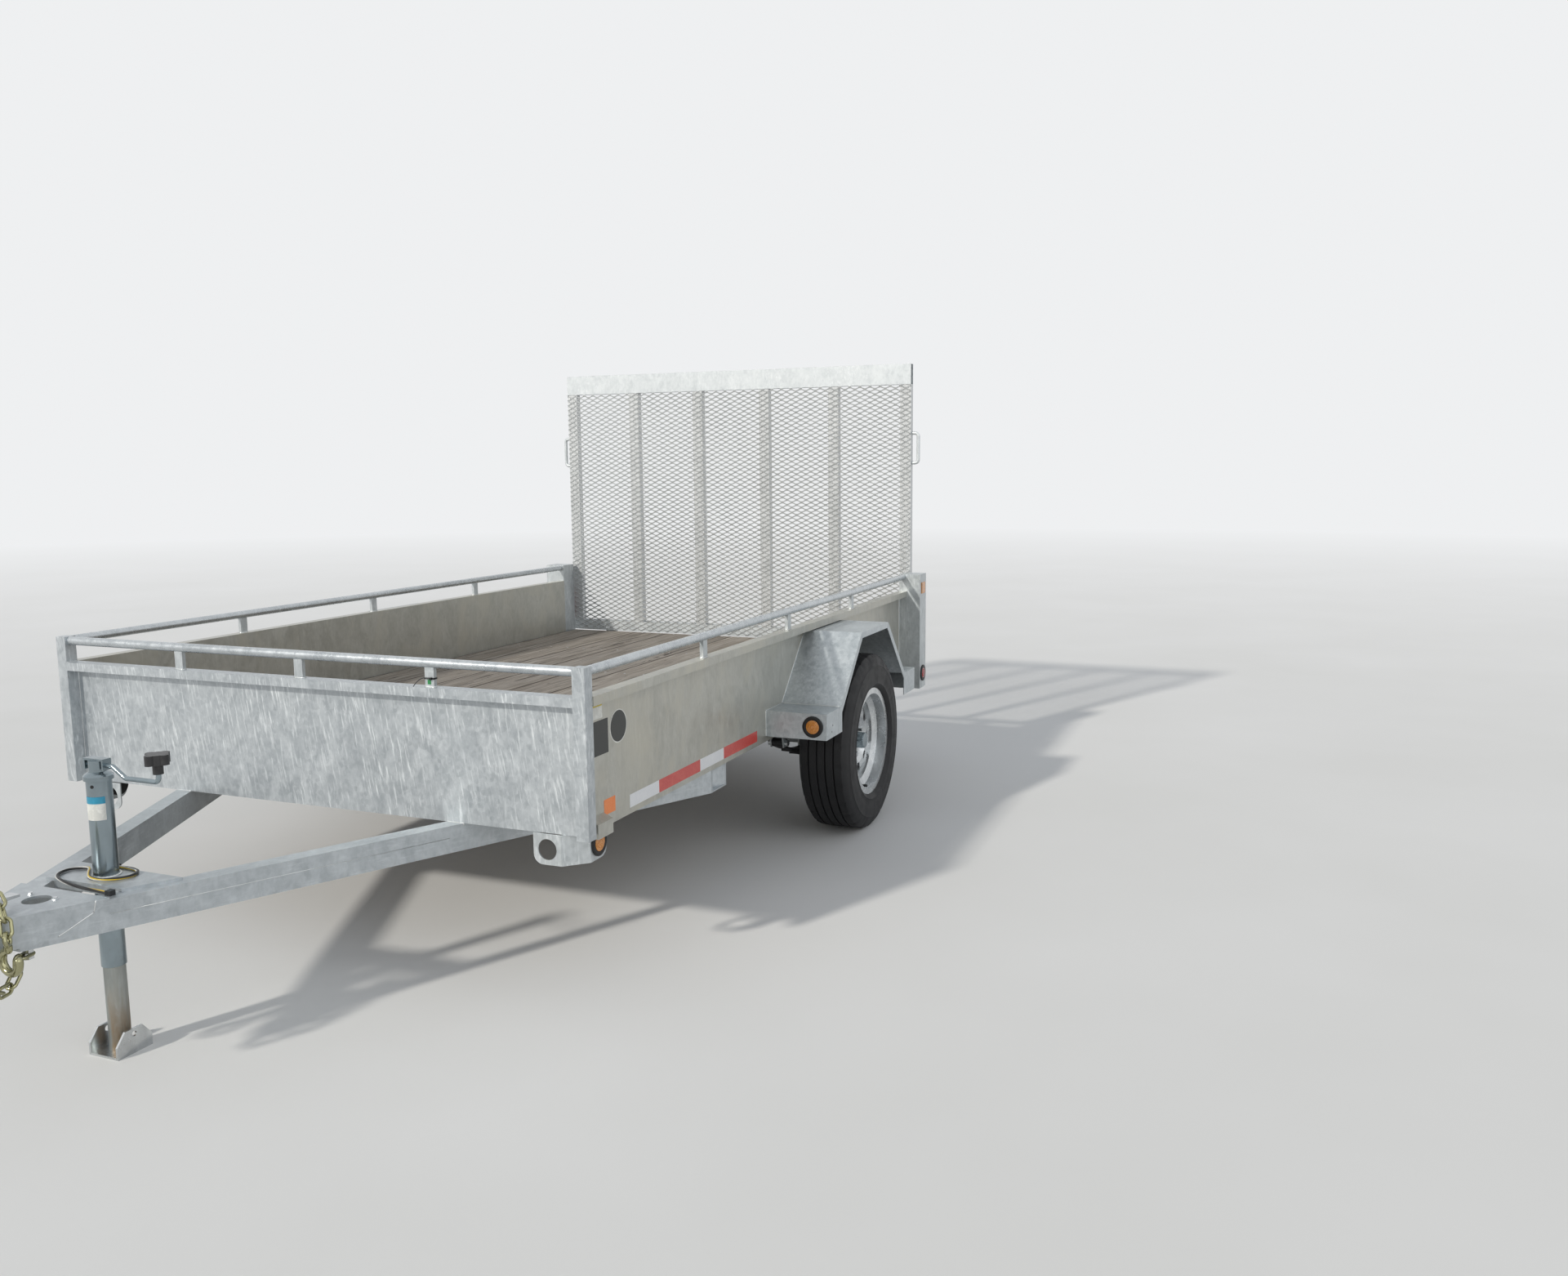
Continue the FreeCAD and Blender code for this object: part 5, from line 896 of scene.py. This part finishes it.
def make_stickers(paints):
    """Reflective tape along the sides, orange markers, and blank plate, tag and disc."""
    heaps = {key: Heap() for key in ("tape_white", "tape_red", "orange", "plate", "tag", "label")}
    patches = list(PATCHES)
    for sign in (1, -1):
        x = bed_front - TAPE_START
        for key, length in TAPE_BLOCKS:
            patches.append((key, sign, STICKER, (x - length + TAPE_GAP, x, TAPE_LOW, TAPE_HIGH)))
            x -= length
    for key, sign, thick, area in patches:
        near_y, far_y = sorted((side_out * sign, (side_out + thick) * sign))
        heaps[key].box((area[0], near_y, area[2]), (area[1], far_y, area[3]))
    place = (DISC_PLACE[0], side_out, DISC_PLACE[1])
    inner = DISC_RADIUS - DISC_RIM
    disc = [(STICKER, 0.0), (STICKER, inner)]
    rim = [(STICKER, inner), (STICKER, DISC_RADIUS), (0.0, DISC_RADIUS)]
    heaps["plate"].lathe(place, (0, 1, 0), disc, DISC_STEPS)
    heaps["label"].lathe(place, (0, 1, 0), rim, DISC_STEPS)
    for key, heap in heaps.items():
        heap.piece(key + "_marks", paints[key], "galvanised")


# Jack: label round its tube, collar under its head and a small hole, by angle from ahead

JACK_WALL = 0.0031
jack_radius = (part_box("jack_ram")[1].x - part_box("jack_ram")[0].x) / 2 + JACK_WALL
LABEL_START = -28
LABEL_SWEEP = 100
LABEL_STEPS = 16
LABEL_PARTS = (("label_band", 0.628, 0.645, "blue_label"), ("label", 0.588, 0.628, "white_label"))
# Collar as height from the head's underside and distance beyond the tube
COLLAR = ((-0.010, 0.0), (-0.009, 0.0019), (-0.001, 0.0019), (0.0, 0.0))
HOLE_HEIGHT = 0.670
HOLE_TURN = math.radians(19)
HOLE_PROFILE = [(0.0, 0.0042), (0.0004, 0.0042), (0.0004, 0.0)]


def round_jack(radius, angle, z):
    """Point at a distance from the jack's axis, by angle from straight ahead."""
    return (jack_x + radius * math.cos(angle), radius * math.sin(angle), z)


def make_jack_label(paints):
    """Blank two-tone label, facing forward and left."""
    radius = jack_radius + STICKER
    for key, bottom, top, name in LABEL_PARTS:
        points = []
        for step in range(LABEL_STEPS + 1):
            angle = math.radians(LABEL_START + LABEL_SWEEP * step / LABEL_STEPS)
            points += [round_jack(radius, angle, bottom), round_jack(radius, angle, top)]
        faces = [(2 * step, 2 * step + 2, 2 * step + 3, 2 * step + 1)
                 for step in range(LABEL_STEPS)]
        label = Heap()
        label.add(points, faces)
        label.piece(name, paints[key], "zinc", smooth=True)


def make_jack_collar(paint):
    """Ring at the head's underside."""
    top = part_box("jack_head")[0].z
    profile = [(along, jack_radius + out) for along, out in COLLAR]
    collar = Heap()
    collar.lathe((jack_x, 0, top), (0, 0, 1), profile, 64)
    collar.piece("jack_collar", paint, "zinc", smooth=True)


def make_jack_hole(paint):
    """Dark disc: painted shade that reads as the hole of the jack's grease plug."""
    way = Vector((math.cos(HOLE_TURN), math.sin(HOLE_TURN), 0))
    hole = Heap()
    hole.lathe(round_jack(jack_radius, HOLE_TURN, HOLE_HEIGHT), way, HOLE_PROFILE, 20)
    hole.piece("jack_hole", paint, "black_plastic")


# Rail stakes, by the front and side bays of the rail

FRONT_BAYS = 4
STAKE_WIDE = 0.030
STAKE_THIN = 0.012
SIDE_STAKES = (0.740, 1.449, 2.158)
LIP_MIDDLE = 0.019


def stake_places():
    """(x, y, half along X, half along Y) of every rail stake."""
    bay = rail_high.y * 2 / FRONT_BAYS
    places = [(bed_front - LIP_MIDDLE, bay * step, STAKE_THIN / 2, STAKE_WIDE / 2)
              for step in (-1, 0, 1)]
    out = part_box("side_rails")[1].y - (rail_high.z - rail_low.z) / 2
    for sign in (-1, 1):
        for back in SIDE_STAKES:
            places.append((bed_front - back, out * sign, STAKE_WIDE / 2, STAKE_THIN / 2))
    return places


# Welds: how far a bead's line stands off its faces, then the radius of each kind of bead

WELD_OUT = 0.001
STAKE_BEAD = 0.0024
FLANK_BEAD = 0.0018
SEAM_BEAD = 0.0008
FOOT_BEAD = 0.005
PLATE_BEAD = 0.0035
SHEET_BEAD = 0.0022
RING_BEAD = 0.0036
# Beads round a stake: height over the lip, and over the rail's underside
STAKE_FOOT_LIFT = 0.0008
STAKE_HEAD_LIFT = 0.0035
# Tongue legs: half the spread of their outer faces at the bed, and their slope
LEG_SPREAD = 0.512
LEG_SLOPE = math.tan(math.radians(26))
LEG_FOOT = 0.040
LEG_FOOT_DROP = 0.002
LEG_WIDE = 0.0565
# Weld that crosses each side of the coupler, as place along the trailer and height
FLANK_WELD = ((1.7840, 0.4440), (1.7895, 0.4170), (1.8570, 0.3790))
FLANK_OUT = 0.0064
SEAM_HEIGHT = 0.404
SEAM_OUT = 0.0002
SEAM_END = 0.002
# Insets from a leg's outer face of the jack plate's bead, back and front, and of the rim's
PLATE_BACK_INSET = 0.014
PLATE_FRONT_INSET = 0.022
RIM_INSETS = (0.004, 0.050)
# Fender's outline on the side, as distance from the axle and height
FENDER_FOOT = (0.402, 0.551)
FENDER_CROWN = (0.168, 0.789)
FENDER_STEP = 0.5495
FLANGE_GAP = 0.0015
FOLD_INSET = 0.004
CORNER_BACK = 0.039
CORNER_FOOT = 0.01
CORNER_HEAD = 0.028
LIP_WELD_BACK = 0.037
POST_OUT = 0.0005
POST_WELD_LOW = 0.44
JACK_RING = 0.031
JACK_RING_STEPS = 48


def weld_stakes(heap):
    for x, y, half_x, half_y in stake_places():
        corners = [(x - half_x, y - half_y), (x + half_x, y - half_y),
                   (x + half_x, y + half_y), (x - half_x, y + half_y)]
        for z in (lip_top + STAKE_FOOT_LIFT, rail_low.z + STAKE_HEAD_LIFT):
            for here, there in zip(corners, corners[1:] + corners[:1]):
                heap.bead((*here, z), (*there, z), STAKE_BEAD)


def leg_point(sign, x, inset, z):
    """Point on a tongue leg, inset from its outer face."""
    return (x, sign * (LEG_SPREAD - inset - (x - bed_front) * LEG_SLOPE), z)


def weld_leg(heap, sign):
    """Coupler's flank, the long seam, and the joints with the bed, jack plate and coupler."""
    plate_low, plate_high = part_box("jack_plate")
    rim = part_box("coupler")[0].x
    line = [leg_point(sign, x, -FLANK_OUT, z) for x, z in FLANK_WELD]
    for here, there in zip(line, line[1:]):
        heap.bead(here, there, FLANK_BEAD)
    seam = [leg_point(sign, x, -SEAM_OUT, SEAM_HEIGHT) for x in (bed_front + SEAM_END, rim - SEAM_END)]
    heap.tube(seam, SEAM_BEAD)
    foot = bed_front - LEG_FOOT
    heap.bead(leg_point(sign, foot, 0, frame_low - LEG_FOOT_DROP),
              leg_point(sign, foot, LEG_WIDE, frame_low - LEG_FOOT_DROP), FOOT_BEAD)
    heap.bead(leg_point(sign, plate_low.x, PLATE_BACK_INSET, plate_low.z + WELD_OUT),
              leg_point(sign, plate_high.x, PLATE_FRONT_INSET, plate_low.z + WELD_OUT), PLATE_BEAD)
    start, end = [leg_point(sign, rim, inset, frame_low + WELD_OUT) for inset in RIM_INSETS]
    heap.bead(start, end, PLATE_BEAD)


def weld_fender(heap, sign):
    """Fender's outline on the side sheet, and the fold between its step and its slope."""
    foot, crown = FENDER_FOOT, FENDER_CROWN
    lines = [((x, fender_low.z), (x, FENDER_STEP - FLANGE_GAP)) for x in (fender_low.x, fender_high.x)]
    lines.append(((fender_high.x, FENDER_STEP), (wheel_x + foot[0], FENDER_STEP)))
    for ahead in (1, -1):
        lines.append(((wheel_x + foot[0] * ahead, foot[1]), (wheel_x + crown[0] * ahead, crown[1])))
    for (start_x, start_z), (end_x, end_z) in lines:
        heap.bead((start_x, side_out * sign, start_z), (end_x, side_out * sign, end_z), SHEET_BEAD)
    fold_x, fold_z = wheel_x + foot[0] + WELD_OUT, FENDER_STEP + WELD_OUT
    heap.bead((fold_x, (side_out + FOLD_INSET) * sign, fold_z),
              (fold_x, (fender_high.y - FOLD_INSET) * sign, fold_z), SHEET_BEAD)


def weld_corners(heap, sign):
    """Front post against the panel and its lip, and rear post against the side."""
    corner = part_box("front_panel")[1].y * sign
    back = bed_front - CORNER_BACK
    heap.bead((back, corner, frame_low + CORNER_FOOT), (back, corner, lip_top - CORNER_HEAD),
              SHEET_BEAD)
    heap.bead((bed_front - WELD_OUT, corner, lip_top),
              (bed_front - LIP_WELD_BACK, corner, lip_top), SHEET_BEAD)
    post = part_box("rear_posts")[1].x + POST_OUT
    heap.bead((post, side_out * sign, POST_WELD_LOW), (post, side_out * sign, lip_top), SHEET_BEAD)


def weld_jack(heap):
    """Ring round the jack's tube on its plate."""
    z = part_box("jack_plate")[1].z + WELD_OUT
    ring = [round_jack(JACK_RING, 2 * math.pi * step / JACK_RING_STEPS, z)
            for step in range(JACK_RING_STEPS + 1)]
    heap.tube(ring, rippled(RING_BEAD))


def make_welds(paint):
    heap = Heap()
    weld_stakes(heap)
    for sign in (-1, 1):
        weld_leg(heap, sign)
        weld_fender(heap, sign)
        weld_corners(heap, sign)
    weld_jack(heap)
    heap.piece("weld_beads", paint, "galvanised", smooth=True)


# Deck screws, coupler's bolts and cable tie; profiles are pairs of height and radius

SCREW_ROWS = 6
SCREW_PLACES = (0.25, 0.75)
SCREW_INSET = 0.020
SCREW_SPAN_LESS = 0.041
SCREW_SINK = 0.0004
SCREW_PROFILE = [(0.0, 0.0052), (0.0007, 0.0048), (0.0007, 0.0022), (-0.0003, 0.0)]
# Bolts as distances ahead of the bed and to the left
COUPLER_TOP = 0.444
COUPLER_BOLTS = ((0.8170, -0.0457), (0.8206, 0.0385))
BOLT_PROFILE = [(-0.0002, 0.0), (-0.0002, 0.0075), (0.0014, 0.0075), (0.0016, 0.0056),
                (0.0052, 0.0054), (0.0060, 0.0046), (0.0060, 0.0)]
# Tie's height over the lip, then its head and the green scrap as lowest and highest corners
# from the middle of the band's front
TIE_RISE = 0.022
TIE_WIDE = 0.0045
TIE_THICK = 0.0012
TIE_HEAD = ((0.0, 0.003, -0.001), (0.006, 0.010, 0.006))
TIE_SCRAP = ((-0.0012, -0.006, -0.014), (-0.0006, 0.005, -0.001))
# Tail: where it leaves the head, its reach to the right, its bow and its fall
TAIL_START = Vector((0.004, 0.004, 0.002))
TAIL_REACH = 0.062
TAIL_BOW = 0.006
TAIL_FALL = 0.034
TAIL_STEPS = 13
TAIL_RADIUS = 0.0017
TAIL_THINNING = 0.0006


def make_screws(paint):
    """Deck screws over each cross member, two in each plank."""
    heap = Heap()
    pitch = (deck_high.y - deck_low.y + PLANK_GAP) / PLANKS
    span = deck_high.x - deck_low.x - SCREW_SPAN_LESS
    z = deck_high.z - SCREW_SINK
    for plank in range(PLANKS):
        for row in range(SCREW_ROWS):
            x = deck_low.x + SCREW_INSET + span * row / (SCREW_ROWS - 1)
            for share in SCREW_PLACES:
                y = deck_low.y + pitch * (plank + share)
                heap.lathe((x, y, z), (0, 0, 1), SCREW_PROFILE, 10)
    heap.piece("deck_screws", paint, "zinc")


def tie_band(heap, x, y, z, half_x, half_y):
    """Four flat sides of the tie's band round a stake."""
    low_x, high_x = x - half_x - TIE_THICK, x + half_x + TIE_THICK
    low_y, high_y = y - half_y - TIE_THICK, y + half_y + TIE_THICK
    for start, end in (((low_x, low_y), (high_x, low_y + TIE_THICK)),
                       ((low_x, high_y - TIE_THICK), (high_x, high_y)),
                       ((low_x, low_y), (low_x + TIE_THICK, high_y)),
                       ((high_x - TIE_THICK, low_y), (high_x, high_y))):
        heap.box((*start, z), (*end, z + TIE_WIDE))


def make_zip_tie(paints):
    """Black cable tie with a curved tail and a scrap of green, on the left front stake."""
    x, y, half_x, half_y = stake_places()[2]
    z = lip_top + TIE_RISE
    front = Vector((x + half_x + TIE_THICK, y, z))
    tail = []
    for step in range(TAIL_STEPS + 1):
        share = step / TAIL_STEPS
        rise = TAIL_BOW * math.sin(3 * share) - TAIL_FALL * share ** 2
        tail.append(front + TAIL_START + Vector((0, -TAIL_REACH * share, rise)))
    band = Heap()
    tie_band(band, x, y, z, half_x, half_y)
    band.box(*[front + Vector(corner) for corner in TIE_HEAD])
    band.tube(tail, lambda number: TAIL_RADIUS - TAIL_THINNING * number / TAIL_STEPS)
    band.piece("cable_tie", paints["knob"], "black_plastic")
    scrap = Heap()
    scrap.box(*[front + Vector(corner) for corner in TIE_SCRAP])
    scrap.piece("green_scrap", paints["wire_green"], "black_plastic")


def make_fixings(paint):
    """Two small bolts in the coupler's top."""
    heap = Heap()
    for ahead, left in COUPLER_BOLTS:
        heap.lathe((bed_front + ahead, left, COUPLER_TOP), (0, 0, 1), BOLT_PROFILE, 6)
    heap.piece("fixings", paint, "zinc")


# Wiring lead: the route repeats the CAD tube's points, as distance ahead of the bed, place
# across, and lift from the height where the lead rests on the tongue

LEAD_REST = 0.4503
LEAD_ROUTE = [(0.742, 0.108, -0.0078), (0.742, 0.040, -0.0078), (0.738, -0.036, -0.002),
              (0.716, -0.100, 0.0003), (0.664, -0.118, 0), (0.636, -0.076, 0),
              (0.668, -0.044, 0), (0.698, -0.004, 0), (0.694, 0.046, 0), (0.656, 0.080, 0),
              (0.616, 0.066, 0), (0.606, 0.026, 0), (0.609, -0.014, 0)]
WIRES = ("wire_black", "wire_black", "wire_black", "wire_yellow", "wire_white")
WIRE_RADIUS = 0.0016
WIRE_ORBIT = 0.0023
WIRE_TURN = 0.34


def lead_spline(route):
    """Centreline of the lead, read from a NURBS curve along its route."""
    curve = bpy.data.curves.new("lead_line", "CURVE")
    curve.dimensions = "3D"
    spline = curve.splines.new("NURBS")
    spline.points.add(len(route) - 1)
    for point, place in zip(spline.points, route):
        point.co = (*place, 1)
    spline.order_u = 3
    spline.use_endpoint_u = True
    spline.resolution_u = 12
    line = link_object("lead_line", curve)
    mesh = bpy.data.meshes.new_from_object(line)
    path = [vertex.co.copy() for vertex in mesh.vertices]
    bpy.data.objects.remove(line)
    bpy.data.meshes.remove(mesh)
    return path


def wound(path, first_turn):
    """Line that winds about a path, from a share of a turn on."""
    run = 0.0
    before = path[0]
    line = []
    for point, side, other in along_path(path):
        run += (point - before).length
        before = point
        angle = 2 * math.pi * (run / WIRE_TURN + first_turn)
        line.append(point + around(side, other, angle) * WIRE_ORBIT)
    return line


def make_lead(paints):
    """Five insulated wires that lie together and turn slowly about each other."""
    route = [(bed_front + ahead, y, LEAD_REST + lift) for ahead, y, lift in LEAD_ROUTE]
    path = lead_spline(route)
    heap = Heap()
    shades = []
    for number in range(len(WIRES)):
        faces_before = len(heap.faces)
        heap.tube(wound(path, number / len(WIRES)), WIRE_RADIUS, sides=8)
        shades += [number] * (len(heap.faces) - faces_before)
    lead = heap.piece("wire_bundle", paints[WIRES[0]], "lead_jacket", smooth=True)
    for key in WIRES[1:]:
        lead.data.materials.append(paints[key])
    lead.data.polygons.foreach_set("material_index", shades)
    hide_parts("wiring_lead")
    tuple(route[0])
    [tuple(point) for point in path]


bpy.context.scene.view_settings.view_transform = "Standard"
make_camera()
make_sky()
make_suns()
paints = make_materials()
make_lead(paints)
make_floor()
dress_nodes(paints)
make_gate_mesh(paints["mesh"])
make_tyres(paints["tyre"])
make_wheel_trim(paints)
make_lamps(paints)
make_stickers(paints)
make_jack_label(paints)
make_jack_collar(paints["bright"])
make_jack_hole(paints["ring"])
make_welds(paints["weld"])
make_screws(paints["bright"])
make_zip_tie(paints)
make_fixings(paints["bright"])
